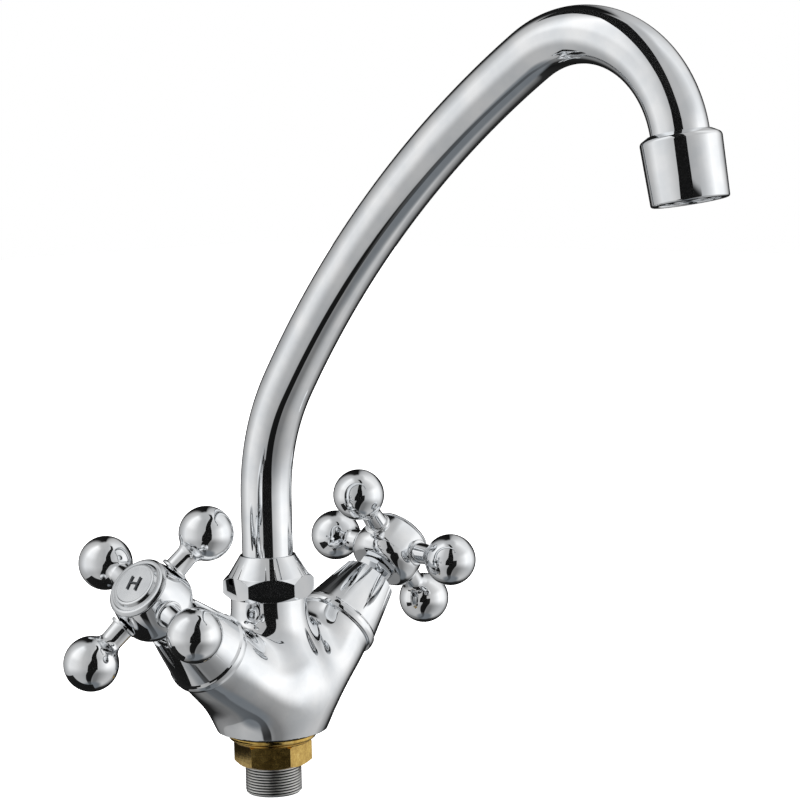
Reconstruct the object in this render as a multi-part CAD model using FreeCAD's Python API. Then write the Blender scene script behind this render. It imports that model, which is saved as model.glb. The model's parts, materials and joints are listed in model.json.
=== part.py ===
"""Kitchen mixer tap: two cross handles, a swivelling hook spout and its deck fixing.

Millimetres. The origin is the middle of the rim that stands on the deck, Z is up, the
spout points forward along -Y at rest, the hot side is -X and the cold side is +X.
"""
import FreeCAD, Part
import math
import os
from FreeCAD import Placement, Rotation, Vector

os.makedirs("parts", exist_ok=True)

# Clearances
THREAD_GAP = 0.05      # radial, between screwed pieces drawn without their threads
RUN_GAP = 0.05         # radial, spindle in headwork and bush in neck
FILM = 0.02            # between the two ceramic discs
RING_GAP = 0.03        # radial, between an O-ring and the bore that it seals
FIT_GAP = 0.05         # radial, pushed or dropped together by hand
TOP_GAP = 0.3          # radial, tube through the top of its nut

# Body
BASE_R = 20.3          # rim that stands on the deck
BASE_EDGE = 0.8        # rounding of that rim
BELL_R = 23.4          # widest part of the bell
BELL_Z = 16.0          # its height
NECK_R = 13.5          # plain neck below the nut
NECK_Z = 45.0          # where the flare ends
NUT_Z = 47.5           # underside of the spout nut
NECK_THREAD_R = 12.0   # thread that the nut screws on
NECK_TOP = 53.0        # top of that thread
NECK_BORE_R = 10.5     # socket of the swivel bush
NECK_BORE_Z = 34.0     # bottom of the socket
CHAMBER_R = 6.5        # mixing chamber below the socket
CHAMBER_Z = 23.5
BLEND_R = 12.0         # fillet between bell and branches

BRANCH_TILT = 40.0     # degrees above the deck
BRANCH_RAKE = 4.0      # degrees towards the front
BRANCH_START_Z = 5.5   # where both branch axes leave the middle axis
ROOT_UNDER_BASE = 5.9   # half height of a branch's oval root, inside the rim's radius
ROOT_UNDER_BELL = 3.4   # its half width, front to back, inside the bell's radius
BRANCH_ROOT = 12.0     # along the branch axis
BRANCH_END_R = 14.0
BRANCH_END = 41.3
BRANCH_BORE_R = 9.5
SEAT = 21.0            # bottom of the branch bore
PORT_R = 2.75          # drillings between bore and chamber
PORT_Z = 28.2
FEED_R = 2.9           # drillings between inlet and seat
FEED_Z = 14.2

# Fixing below the deck line
SHANK_R = 10.0
SHANK_BORE_R = 8.25
SHANK_END = 23.0       # how far it reaches below the rim
SHANK_DEPTH = 6.0      # how far it is screwed into the body
SHANK_EDGE = 0.8
INLET_R = 3.46         # tapping hole of an M8 x 1 tail
INLET_X = 4.2
INLET_DEPTH = 4.5
GASKET_R = 15.6
GASKET_T = 1.5
FLANGE_R = 15.5
FLANGE_T = 3.0
FLANGE_EDGE = 0.7
FIXING_AF = 24.0
FIXING_TURN = 221.0    # plan angle of one flat
FIXING_T = 8.0
FIXING_CHAMFER = 1.1

# Spout nut and swivel
NUT_AF = 28.0
NUT_TURN = 229.0       # plan angle of one flat
NUT_TOP = 62.5
NUT_TOP_R = 9.8
NUT_SHOULDER_R = 14.2
NUT_BEVEL = 1.8        # height of the bevel under the flats
NUT_BAND = 4.2         # full width above it
NUT_ARCH = 1.8         # from there to the foot of the cone
NUT_FOOT_R = 14.0
SLIP_T = 0.6           # slip ring below the bush flange
SLIP_TOP_T = 0.8       # slip ring above it
BUSH_FLANGE_R = 11.4
BUSH_FLANGE_T = 2.0
BUSH_FOOT = 36.0
BUSH_BORE_R = 7.5
GROOVE_T = 2.0
GROOVE_DEPTH = 1.3
GROOVE_PITCH = 4.2
GROOVE_FOOT = 1.6      # from the foot of the bush to the first groove

# Spout
TUBE_R = 9.0
TUBE_WALL = 1.0
TUBE_FOOT = 46.0       # lower end inside the bush
TUBE_RISE = 82.1       # height where the straight part ends
LEAN_R = 76.7          # first bend, forward out of the upright part
LEAN_TURN = 32.45      # degrees
SLOPE_R = 354.6        # long shallow bend above it
SLOPE_TURN = 25.3      # degrees
HOOK_R = 37.2          # tight bend down to the outlet
HOOK_TURN = 112.25     # degrees
OUTLET_SHOULDER_R = 12.55
OUTLET_END_R = 12.0
OUTLET_SHOULDER = 2.0
OUTLET_L = 21.0
OUTLET_EDGE = 0.5
OUTLET_BULGE = 0.5     # how far the shoulder swells
OUTLET_SOCKET = 5.0    # tube inside the outlet
OUTLET_THREAD_R = 9.8
OUTLET_STEP = 1.5
WASHER_T = 1.5
AERATOR_WALL = 1.1
AERATOR_LIP = 1.0      # ledge that holds the insert
AERATOR_LIP_T = 0.8
AERATOR_RECESS = 1.2   # face of the aerator above the rim of the outlet
INSERT_T = 9.5
INSERT_WALL = 1.2
GRID_T = 2.0
GRID_BAR = 0.55
GRID_PITCH = 2.4

# Headworks
SEAL_R = 7.3
SEAL_BORE_R = 4.4
SEAL_T = 2.0
DISC_R = 7.4
DISC_T = 2.2
DISC_WEB = 1.6
DISC_PORT_R = 5.9
CARRIER_T = 2.0
CAVITY_R = 7.5
SKIRT_R = 8.4          # lower headwork, with a water way round it
WINDOW_W = 6.5
WINDOW_T = 3.4
THREAD_START = 31.0
HEX_AF = 22.0
HEX_T = 2.6
GASKET2_R = 10.9       # gasket under the headwork's hexagon
GASKET2_T = 0.8
STEM_R = 8.0
SPINDLE_R = 4.0
GLAND_AF = 12.0
GLAND_TURN = 15.0      # degrees
GLAND_TOP = 69.4
STEM_TOP = 63.9

# Bonnets
LIP_R = 15.1
LIP_T = 3.0
LIP_EDGE = 0.7
CONE_R = 14.3
CONE_TOP_R = 10.0
BONNET_TOP = 64.3
BONNET_EDGE = 1.2
BONNET_WALL = 1.3
BONNET_THREAD_L = 6.0  # thread inside its narrow end
FLUTES = 10
FLUTE_L = 11.0
FLUTE_R = 1.15

# Handles
CROSS = 79.76          # middle of the cross along the branch axis
HOT_TURN = 22.5        # turn of each cross in the photograph, degrees
COLD_TURN = 4.6
HUB_BACK = -10.0       # the next values are measured from the middle of the cross
HUB_WIDE = -4.8
HUB_TOP = 6.3
HUB_BACK_R = 9.8
HUB_WIDE_R = 13.2
HUB_TOP_R = 11.1
HUB_BACK_BULGE = 0.9    # swell of its profile behind the widest place
HUB_TOP_BULGE = 0.35   # and before it
HUB_RECESS_R = 8.2
HUB_FLOOR = 1.4
CIRCLIP_POCKET_R = 6.2
CIRCLIP_POCKET = 2.2
SQUARE = 5.6
HUB_WEB = 1.0
BALL_R = 9.3
BALL_AT = 28.8
ARM_R = 3.9            # where the arm leaves its collar
ARM_NECK_R = 3.7       # where it swells into the ball
ARM_SWELL = 3.0        # radius of that swell
ARM_SEAT = 12.2
ARM_COLLAR_R = 4.8
ARM_COLLAR_T = 1.2
SPIGOT_R = 2.5
SPIGOT_L = 2.8
ARMS = 4
CAP_RING_R = 10.2
CAP_DISC_R = 7.6
CAP_RING = 1.5         # heights above the hub
CAP_DISC = 2.9
CAP_TOP = 3.4
CAP_SKIRT = 2.0
CAP_RIM = 0.5          # upright edge of the ring
CAP_LAND = 1.2         # flat top of the ring
CAP_WALL = 1.2
SCREW_R = 1.6
SCREW_HEAD_R = 3.4
SCREW_HEAD_T = 2.4
SCREW_L = 8.0
SCREW_SLOT = 1.0
O_RING_DEPTH = 1.0
O_RING_GROOVE = 1.3
O_RING_AT = 52.0
CIRCLIP_T = 0.8
CIRCLIP_R = 5.4
CIRCLIP_GROOVE = 0.5
CIRCLIP_MOUTH = 2.4

MID = Vector(0, 0, 0)
UP = Vector(0, 0, 1)


# Helpers
def lathe(outline):
    """Turn a closed (radius, height) outline about Z. A pair of points makes an arc."""
    edges = []
    here = None
    first = None
    for step in outline:
        is_arc = not isinstance(step[0], (int, float))
        goal = step[1] if is_arc else step
        there = Vector(goal[0], 0, goal[1])
        if here is None:
            first = there
        elif is_arc:
            through = Vector(step[0][0], 0, step[0][1])
            edges.append(Part.Arc(here, through, there).toShape())
        elif (there - here).Length > 1e-6:
            edges.append(Part.LineSegment(here, there).toShape())
        here = there
    if (first - here).Length > 1e-6:
        edges.append(Part.LineSegment(here, first).toShape())
    return Part.Face(Part.Wire(edges)).revolve(MID, UP, 360)


def rod(radius, low, high):
    return Part.makeCylinder(radius, high - low, Vector(0, 0, low))


def tube(inner, outer, low, high):
    return rod(outer, low, high).cut(rod(inner, low - 1, high + 1))


def hexagon(across_flats, low, high, turn=0.0):
    """Prism with one flat facing the plan angle turn."""
    corner = across_flats / math.sqrt(3)
    angles = [math.radians(turn + 30 + 60 * i) for i in range(7)]
    points = [Vector(corner * math.cos(a), corner * math.sin(a), low) for a in angles]
    return Part.Face(Part.makePolygon(points)).extrude(Vector(0, 0, high - low))


def bulge(start, end, rise):
    """Arc step from start to end whose middle lies rise to the right of the chord."""
    dx = end[0] - start[0]
    dz = end[1] - start[1]
    length = math.hypot(dx, dz)
    middle = ((start[0] + end[0]) / 2 + rise * dz / length,
              (start[1] + end[1]) / 2 - rise * dx / length)
    return (middle, end)


def crown(radius, low, rise):
    """Arc step of a shallow dome, from its edge to its middle on the axis."""
    ball = (radius ** 2 + rise ** 2) / (2 * rise)
    half = math.asin(radius / ball) / 2
    through = (ball * math.sin(half), low + rise - ball * (1 - math.cos(half)))
    return (through, (0, low + rise))


def branch_place(side):
    """Frame of a branch: Z runs outward along it. side is -1 for hot and 1 for cold."""
    tilt = math.radians(BRANCH_TILT)
    rake = math.radians(BRANCH_RAKE)
    out = Vector(side * math.cos(tilt) * math.cos(rake), -math.cos(tilt) * math.sin(rake), math.sin(tilt))
    rise = Vector(-side * math.sin(tilt) * math.cos(rake), math.sin(tilt) * math.sin(rake), math.cos(tilt))
    return Placement(Vector(0, 0, BRANCH_START_Z), Rotation(rise, out.cross(rise), out, "ZXY"))


def handle_place(side):
    """Frame of a branch, turned so that one arm of the cross lies along its X."""
    turn = HOT_TURN if side < 0 else COLD_TURN
    spin = Placement(MID, Rotation(UP, side * (90 + turn)))
    return branch_place(side).multiply(spin)


def placed(shape, place):
    result = shape.copy()
    result.Placement = place.multiply(result.Placement)
    return result


def save(name, shape):
    """Write one node, with its shape fixed in the part's frame."""
    done = shape.removeSplitter()
    done.exportStep("parts/" + name + ".step")
    box = done.BoundBox
    print(name, len(done.Solids), "solid", round(done.Volume, 1), "mm3",
          [round(v, 1) for v in (box.XMin, box.YMin, box.ZMin, box.XMax, box.YMax, box.ZMax)])


# Body
def bell_outline():
    """Rim, swelling wall and flared neck, up to the top of the thread."""
    rim = BASE_R - BASE_EDGE
    corner = BASE_EDGE * (1 - math.sqrt(0.5))
    wall_r = ((BELL_R - BASE_R) ** 2 + (BELL_Z - BASE_EDGE) ** 2) / (2 * (BELL_R - BASE_R))
    half = math.asin((BELL_Z - BASE_EDGE) / wall_r) / 2
    swell = (BELL_R - wall_r + wall_r * math.cos(half), BELL_Z - wall_r * math.sin(half))
    sweep = 2 * math.atan((BELL_R - NECK_R) / (NECK_Z - BELL_Z))
    flare_r = (NECK_Z - BELL_Z) / (2 * math.sin(sweep))
    mid = ((BELL_R + NECK_R) / 2, (BELL_Z + NECK_Z) / 2)
    over = (BELL_R - flare_r * (1 - math.cos(sweep / 2)), BELL_Z + flare_r * math.sin(sweep / 2))
    under = (NECK_R + flare_r * (1 - math.cos(sweep / 2)), NECK_Z - flare_r * math.sin(sweep / 2))
    return [(0, 0), (rim, 0), ((BASE_R - corner, corner), (BASE_R, BASE_EDGE)),
            (swell, (BELL_R, BELL_Z)), (over, mid), (under, (NECK_R, NECK_Z)),
            (NECK_R, NUT_Z), (NECK_THREAD_R, NUT_Z), (NECK_THREAD_R, NECK_TOP), (0, NECK_TOP)]


def branch(side):
    """Limb that runs from a wide oval inside the bell to a round end."""
    middle = Vector(0, 0, BRANCH_ROOT)
    wide = Vector(0, BELL_R - ROOT_UNDER_BELL, BRANCH_ROOT)
    high = Vector(BASE_R - ROOT_UNDER_BASE, 0, BRANCH_ROOT)
    root = Part.Ellipse(wide, high, middle).toShape()
    end = Part.makeCircle(BRANCH_END_R, Vector(0, 0, BRANCH_END))
    end.rotate(MID, UP, 90)
    limb = Part.makeLoft([Part.Wire([root]), Part.Wire([end])], True, False)
    return placed(limb, branch_place(side))


def feed(side):
    """Drilling from the top of an inlet to the middle of its seat."""
    start = Vector(side * INLET_X, 0, FEED_Z)
    seat = branch_place(side).multVec(Vector(0, 0, SEAT + 0.5))
    way = seat - start
    return Part.makeCylinder(FEED_R, way.Length, start, way)


def mixer_body():
    body = lathe(bell_outline())
    for side in (-1, 1):
        body = body.fuse(branch(side))
    body = body.removeSplitter()
    seams = [e for e in body.Edges if type(e.Curve).__name__ == "BSplineCurve" and e.Length > 5]
    body = body.makeFillet(BLEND_R, seams)
    cuts = [rod(NECK_BORE_R, NECK_BORE_Z, NECK_TOP + 1),
            rod(CHAMBER_R, CHAMBER_Z, NECK_BORE_Z + 1),
            rod(SHANK_R + THREAD_GAP, -1, SHANK_DEPTH)]
    for side in (-1, 1):
        bore = rod(BRANCH_BORE_R, SEAT, BRANCH_END + 1)
        cuts.append(placed(bore, branch_place(side)))
        inlet = rod(INLET_R, SHANK_DEPTH - 0.5, SHANK_DEPTH + INLET_DEPTH)
        inlet.translate(Vector(side * INLET_X, 0, 0))
        lead = rod(FEED_R, SHANK_DEPTH + INLET_DEPTH - 0.5, FEED_Z)
        lead.translate(Vector(side * INLET_X, 0, 0))
        reach = SEAT * math.cos(math.radians(BRANCH_TILT)) - BRANCH_BORE_R * math.sin(math.radians(BRANCH_TILT))
        port = Part.makeCylinder(PORT_R, reach + 3.0, Vector(0, 0, PORT_Z), Vector(side, 0, 0))
        cuts += [inlet, lead, feed(side), port]
    return body.cut(cuts)


# Fixing
def threaded_shank():
    inner = SHANK_BORE_R
    outer = SHANK_R
    low = -SHANK_END
    high = SHANK_DEPTH
    edge = SHANK_EDGE
    return lathe([(inner, low), (outer - edge, low), (outer, low + edge), (outer, high - edge),
                  (outer - edge, high), (inner, high)])


def base_gasket():
    return tube(SHANK_R + FIT_GAP, GASKET_R, -GASKET_T, 0)


def fixing_nut():
    """Hexagon with a round flange turned on its upper end."""
    top = -GASKET_T
    under = top - FLANGE_T
    foot = under - FIXING_T
    corner = FIXING_AF / math.sqrt(3)
    inner = SHANK_R + THREAD_GAP
    edge = FLANGE_EDGE
    round_in = edge * (1 - math.sqrt(0.5))
    flange = lathe([(inner, under), (FLANGE_R - edge, under),
                    ((FLANGE_R - round_in, under + round_in), (FLANGE_R, under + edge)),
                    (FLANGE_R, top - edge),
                    ((FLANGE_R - round_in, top - round_in), (FLANGE_R - edge, top)), (inner, top)])
    cham = FIXING_CHAMFER
    limit = lathe([(0, foot), (corner - 2 * cham, foot), (corner, foot + cham), (corner, under - cham / 2),
                   (corner - cham, under), (0, under)])
    grip = hexagon(FIXING_AF, foot, under, FIXING_TURN).common(limit).cut(rod(inner, foot - 1, under + 1))
    return flange.fuse(grip)


# Spout nut, bush and rings
def bush_heights():
    """Foot and top of the bush flange, with its slip rings between neck and nut."""
    low = NECK_TOP + SLIP_T
    return low, low + BUSH_FLANGE_T


def spout_nut():
    """Cone over a hexagon: where they meet, each flat ends in an arch."""
    corner = NUT_AF / math.sqrt(3)
    roof = bush_heights()[1] + SLIP_TOP_T
    wide = NUT_Z + NUT_BEVEL
    arch = wide + NUT_BAND
    form = lathe([(0, NUT_Z), (NUT_FOOT_R, NUT_Z), (corner, wide), (corner, arch),
                  (NUT_SHOULDER_R, arch + NUT_ARCH), (NUT_TOP_R, NUT_TOP), (0, NUT_TOP)])
    nut = form.common(hexagon(NUT_AF, NUT_Z, NUT_TOP, NUT_TURN))
    nut = nut.cut(rod(NECK_THREAD_R + THREAD_GAP, NUT_Z - 1, roof))
    return nut.cut(rod(TUBE_R + TOP_GAP, roof - 1, NUT_TOP + 1))


def lower_slip_ring():
    low = bush_heights()[0]
    return tube(NECK_BORE_R + FIT_GAP, BUSH_FLANGE_R, NECK_TOP, low)


def upper_slip_ring():
    high = bush_heights()[1]
    return tube(TUBE_R + TOP_GAP, BUSH_FLANGE_R, high, high + SLIP_TOP_T)


def groove_floor():
    return NECK_BORE_R - RUN_GAP - GROOVE_DEPTH


def groove_lows():
    first = BUSH_FOOT + GROOVE_FOOT
    return (first, first + GROOVE_PITCH)


def spout_bush():
    low, high = bush_heights()
    outer = NECK_BORE_R - RUN_GAP
    bush = rod(outer, BUSH_FOOT, low).fuse(rod(BUSH_FLANGE_R, low, high))
    bush = bush.cut(rod(BUSH_BORE_R, BUSH_FOOT - 1, high + 1)).cut(rod(TUBE_R, TUBE_FOOT, high + 1))
    for z in groove_lows():
        bush = bush.cut(tube(groove_floor(), outer + 1, z, z + GROOVE_T))
    return bush


def spout_o_rings():
    """Two rings, one in each groove of the bush."""
    floor = groove_floor()
    section = (NECK_BORE_R - RING_GAP - floor) / 2
    rings = [Part.makeTorus(floor + section, section, Vector(0, 0, z + GROOVE_T / 2)) for z in groove_lows()]
    return Part.makeCompound(rings)


# Spout
def spout_run():
    """Arcs of the centreline as (centre, start, end, turned before, degrees), ending at the outlet."""
    here = Vector(0, 0, TUBE_RISE)
    heading = 0.0
    run = []
    for radius, sweep in ((LEAN_R, LEAN_TURN), (SLOPE_R, SLOPE_TURN), (HOOK_R, HOOK_TURN)):
        side = Vector(0, -math.cos(math.radians(heading)), -math.sin(math.radians(heading)))
        centre = here + side * radius
        turned = Rotation(Vector(1, 0, 0), sweep)
        there = centre + turned.multVec(here - centre)
        run.append((centre, here, heading, sweep))
        here = there
        heading += sweep
    return run, here, heading


def spout_solid(radius):
    """Straight foot and three bends with one round section."""
    run, end, heading = spout_run()
    solid = rod(radius, TUBE_FOOT, TUBE_RISE)
    for centre, here, turned, sweep in run:
        along = Vector(0, -math.sin(math.radians(turned)), math.cos(math.radians(turned)))
        disc = Part.Face(Part.Wire(Part.makeCircle(radius, here, along)))
        solid = solid.fuse(disc.revolve(centre, Vector(1, 0, 0), sweep))
    return solid.fuse(outlet_placed(rod(radius, 0, OUTLET_SOCKET)))


def outlet_placed(shape):
    """From the outlet's own frame, with Z along the water, to the end of the bends."""
    run, end, heading = spout_run()
    return placed(shape, Placement(end, Rotation(Vector(1, 0, 0), heading)))


def spout_tube():
    return spout_solid(TUBE_R).cut(spout_solid(TUBE_R - TUBE_WALL))


def outlet_fitting():
    """Plated sleeve on the end of the tube, rounded above, tapered, threaded inside."""
    edge = OUTLET_EDGE
    top = TUBE_R + edge
    step = OUTLET_SOCKET + OUTLET_STEP
    outside = [(0, 0), (top, 0), bulge((top, 0), (OUTLET_SHOULDER_R, OUTLET_SHOULDER), OUTLET_BULGE),
               (OUTLET_END_R, OUTLET_L - edge), (OUTLET_END_R - edge, OUTLET_L), (0, OUTLET_L)]
    sleeve = lathe(outside).cut(rod(TUBE_R, -1, OUTLET_SOCKET))
    sleeve = sleeve.cut(rod(TUBE_R - TUBE_WALL, OUTLET_SOCKET - 1, step + 1))
    return outlet_placed(sleeve.cut(rod(OUTLET_THREAD_R, step, OUTLET_L + 1)))


def aerator_washer():
    low = OUTLET_SOCKET + OUTLET_STEP
    return outlet_placed(tube(TUBE_R - TUBE_WALL - 1, OUTLET_THREAD_R - FIT_GAP, low, low + WASHER_T))


def aerator_housing():
    """Threaded cup, open below, with an inner ledge that holds the insert."""
    low = OUTLET_SOCKET + OUTLET_STEP + WASHER_T
    high = OUTLET_L - AERATOR_RECESS
    outer = OUTLET_THREAD_R - THREAD_GAP
    inner = outer - AERATOR_WALL
    cup = tube(inner, outer, low, high)
    return outlet_placed(cup.fuse(tube(inner - AERATOR_LIP, inner + 0.1, high - AERATOR_LIP_T, high)))


def aerator_insert():
    """Cup with a square grid as its floor, which breaks up the water."""
    high = OUTLET_L - AERATOR_RECESS - AERATOR_LIP_T
    low = high - INSERT_T
    outer = OUTLET_THREAD_R - THREAD_GAP - AERATOR_WALL - FIT_GAP
    inner = outer - INSERT_WALL
    cup = tube(inner, outer, low, high)
    count = int(inner / GRID_PITCH)
    bars = []
    for i in range(-count, count + 1):
        at = i * GRID_PITCH - GRID_BAR / 2
        bars.append(Part.makeBox(GRID_BAR, 2 * outer, GRID_T, Vector(at, -outer, high - GRID_T)))
        bars.append(Part.makeBox(2 * outer, GRID_BAR, GRID_T, Vector(-outer, at, high - GRID_T)))
    grid = bars[0].fuse(bars[1:]).common(rod(inner + 0.3, high - GRID_T, high))
    return outlet_placed(cup.fuse(grid))


# Headworks, in the branch frame
def disc_low():
    return SEAT + SEAL_T


def disc_high():
    return disc_low() + DISC_T


def moving_low():
    return disc_high() + FILM


def carrier_low():
    return moving_low() + DISC_T


def carrier_high():
    return carrier_low() + CARRIER_T


def flange_low():
    return BRANCH_END + GASKET2_T


def hub_back():
    return CROSS + HUB_BACK


def seat_seal():
    return tube(SEAL_BORE_R, SEAL_R, SEAT, disc_low())


def ceramic_disc(low):
    """Disc with two quarter ports, left and right of a web."""
    disc = rod(DISC_R, low, low + DISC_T)
    ports = []
    for turn in (0, 180):
        wedge = rod(DISC_PORT_R, low - 1, low + DISC_T + 1).cut(rod(DISC_WEB, low - 2, low + DISC_T + 2))
        keep = Part.makeBox(DISC_R * 2, DISC_R * 2, DISC_T + 4, Vector(DISC_WEB / 2, DISC_WEB / 2, low - 2))
        sector = wedge.common(keep)
        sector.rotate(MID, UP, turn - 45)
        ports.append(sector)
    return disc.cut(ports)


def fixed_disc():
    return ceramic_disc(disc_low())


def moving_disc():
    """A quarter turn away from the fixed one: the valve is closed at rest."""
    disc = ceramic_disc(moving_low())
    disc.rotate(MID, UP, 90)
    return disc


def headwork_gasket():
    return tube(BRANCH_BORE_R + FIT_GAP, GASKET2_R, BRANCH_END, flange_low())


def headwork_body():
    bore = BRANCH_BORE_R - THREAD_GAP
    low = disc_low()
    seat = carrier_high() + 0.1
    flange = flange_low()
    outside = lathe([(0, low), (SKIRT_R, low), (SKIRT_R, THREAD_START), (bore, THREAD_START),
                     (bore, flange + 0.1), (0, flange + 0.1)])
    body = outside.fuse([hexagon(HEX_AF, flange, flange + HEX_T), rod(STEM_R, flange, STEM_TOP)])
    body = body.fuse(hexagon(GLAND_AF, STEM_TOP, GLAND_TOP, GLAND_TURN))
    body = body.cut([rod(CAVITY_R, low - 1, seat), rod(SPINDLE_R + RUN_GAP, low, GLAND_TOP + 1)])
    slot = Part.makeBox(2 * CAVITY_R + 10, WINDOW_W, WINDOW_T,
                        Vector(-CAVITY_R - 5, -WINDOW_W / 2, disc_high() + 0.1))
    return body.cut(slot)


# Bonnets, in the branch frame
def flute(turn):
    """Tear-shaped hollow cut into the narrow end of a bonnet, pointed towards the body."""
    tip = FLUTE_R * 0.15
    foot = BONNET_TOP - FLUTE_L
    slope = (CONE_TOP_R - CONE_R) / (BONNET_TOP - BRANCH_END - LIP_T)
    at_foot = CONE_TOP_R - slope * FLUTE_L
    cutter = Part.makeCone(tip, FLUTE_R * 1.25, FLUTE_L + 1.0)
    lean = math.degrees(math.atan(slope))
    cutter.rotate(MID, Vector(0, 1, 0), lean)
    cutter.translate(Vector(at_foot + tip * 0.3, 0, foot))
    cutter.rotate(MID, UP, turn)
    return cutter


def bonnet():
    """Thin cone with a rolled lip, screwed on the headwork's stem by its inner collar."""
    low = BRANCH_END
    lip_top = low + LIP_T
    edge = LIP_EDGE
    end = BONNET_EDGE
    in_low = CONE_R - BONNET_WALL
    in_high = CONE_TOP_R - BONNET_WALL
    hole = STEM_R + THREAD_GAP
    collar = BONNET_TOP - BONNET_THREAD_L
    share = BONNET_THREAD_L / (BONNET_TOP - lip_top)
    in_collar = in_high + (in_low - in_high) * share
    outside = [(in_low, low), (LIP_R - edge, low), bulge((LIP_R - edge, low), (LIP_R, low + edge), edge * 0.2),
               (LIP_R, lip_top - edge), bulge((LIP_R, lip_top - edge), (LIP_R - edge, lip_top), edge * 0.2),
               (CONE_R, lip_top), (CONE_TOP_R, BONNET_TOP - end),
               bulge((CONE_TOP_R, BONNET_TOP - end), (CONE_TOP_R - end, BONNET_TOP), end * 0.2),
               (hole, BONNET_TOP), (hole, collar), (in_collar, collar), (in_low, lip_top)]
    shell = lathe(outside)
    cutters = [flute(360.0 * i / FLUTES) for i in range(FLUTES)]
    return shell.cut(cutters)


# Handles, in the turned branch frame
def spindle():
    """Carrier, stem with ring and clip grooves, square end with a tapped hole."""
    low = carrier_low()
    square_low = hub_back() + CIRCLIP_POCKET
    square_high = CROSS + HUB_FLOOR - HUB_WEB - 0.2
    half = SQUARE / 2
    stem = rod(CAVITY_R - 0.3, low, carrier_high()).fuse(rod(SPINDLE_R, low, square_low))
    end = Part.makeBox(SQUARE, SQUARE, square_high - square_low + 1, Vector(-half, -half, square_low - 1))
    end = end.common(rod(SPINDLE_R, square_low - 1, square_high))
    stem = stem.fuse(end)
    ring = tube(SPINDLE_R - O_RING_DEPTH, SPINDLE_R + 1, O_RING_AT - O_RING_GROOVE / 2,
                O_RING_AT + O_RING_GROOVE / 2)
    clip_low = GLAND_TOP + FIT_GAP
    clip = tube(SPINDLE_R - CIRCLIP_GROOVE, SPINDLE_R + 1, clip_low, clip_low + CIRCLIP_T)
    tapped = rod(SCREW_R + THREAD_GAP, square_high - SCREW_L, square_high + 1)
    return stem.cut([ring, clip, tapped])


def spindle_o_ring():
    floor = SPINDLE_R - O_RING_DEPTH
    section = (SPINDLE_R + RUN_GAP - RING_GAP - floor) / 2
    return Part.makeTorus(floor + section, section, Vector(0, 0, O_RING_AT))


def spindle_circlip():
    """Open ring that keeps the spindle from dropping into its headwork."""
    low = GLAND_TOP + FIT_GAP
    ring = tube(SPINDLE_R - CIRCLIP_GROOVE, CIRCLIP_R, low, low + CIRCLIP_T)
    return ring.cut(Part.makeBox(CIRCLIP_R + 1, CIRCLIP_MOUTH, 4, Vector(0, -CIRCLIP_MOUTH / 2, low - 1)))


def arm_cut(turn):
    """Pocket for an arm's collar and hole for its spigot."""
    seat = Part.makeCylinder(ARM_COLLAR_R + FIT_GAP, 8, Vector(ARM_SEAT, 0, CROSS), Vector(1, 0, 0))
    hole = Part.makeCylinder(SPIGOT_R + THREAD_GAP, SPIGOT_L + 1, Vector(ARM_SEAT - SPIGOT_L, 0, CROSS),
                             Vector(1, 0, 0))
    cut = seat.fuse(hole)
    cut.rotate(MID, UP, turn)
    return cut


def handle_hub():
    low = hub_back()
    wide = CROSS + HUB_WIDE
    top = CROSS + HUB_TOP
    floor = CROSS + HUB_FLOOR
    half = SQUARE / 2 + FIT_GAP
    form = lathe([(0, low), (HUB_BACK_R, low), bulge((HUB_BACK_R, low), (HUB_WIDE_R, wide), HUB_BACK_BULGE),
                  bulge((HUB_WIDE_R, wide), (HUB_TOP_R, top), HUB_TOP_BULGE), (0, top)])
    square = Part.makeBox(2 * half, 2 * half, floor - HUB_WEB - low, Vector(-half, -half, low))
    square = square.common(rod(SPINDLE_R + FIT_GAP, low, floor))
    cuts = [rod(CIRCLIP_POCKET_R, low - 1, low + CIRCLIP_POCKET), square,
            rod(SCREW_R + 0.4, floor - HUB_WEB - 1, floor + 1), rod(HUB_RECESS_R, floor, top + 1)]
    cuts += [arm_cut(360.0 * i / ARMS) for i in range(ARMS)]
    return form.cut(cuts)


def arm(turn):
    """Spigot, collar, tapering arm and ball."""
    collar = ARM_SEAT + ARM_COLLAR_T
    rise = ARM_COLLAR_T / 3
    reach = BALL_R + ARM_SWELL
    out = ARM_NECK_R + ARM_SWELL
    swell = BALL_AT - math.sqrt(reach ** 2 - out ** 2)
    half = math.acos(out / reach) / 2
    through = (out - ARM_SWELL * math.cos(half), swell + ARM_SWELL * math.sin(half))
    meet = (out * BALL_R / reach, BALL_AT - (BALL_AT - swell) * BALL_R / reach)
    turned = lathe([(0, ARM_SEAT - SPIGOT_L), (SPIGOT_R, ARM_SEAT - SPIGOT_L), (SPIGOT_R, ARM_SEAT),
                    (ARM_COLLAR_R, ARM_SEAT), (ARM_COLLAR_R, collar - rise), (ARM_R, collar),
                    (ARM_NECK_R, swell), (through, meet), ((BALL_R, BALL_AT), (0, BALL_AT + BALL_R))])
    turned.rotate(MID, Vector(0, 1, 0), 90)
    turned.translate(Vector(0, 0, CROSS))
    turned.rotate(MID, UP, turn)
    return turned


def handle_arms():
    """The four arms, each screwed into the hub by itself."""
    return Part.makeCompound([arm(360.0 * i / ARMS) for i in range(ARMS)])


def handle_screw():
    seat = CROSS + HUB_FLOOR
    end = seat - HUB_WEB - SCREW_L + 1.0
    head = rod(SCREW_HEAD_R, seat, seat + SCREW_HEAD_T)
    slot = Part.makeBox(2 * SCREW_HEAD_R, SCREW_SLOT, SCREW_SLOT,
                       Vector(-SCREW_HEAD_R, -SCREW_SLOT / 2, seat + SCREW_HEAD_T - 0.9 * SCREW_SLOT))
    return head.fuse(rod(SCREW_R, end, seat + 0.1)).cut(slot)


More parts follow.
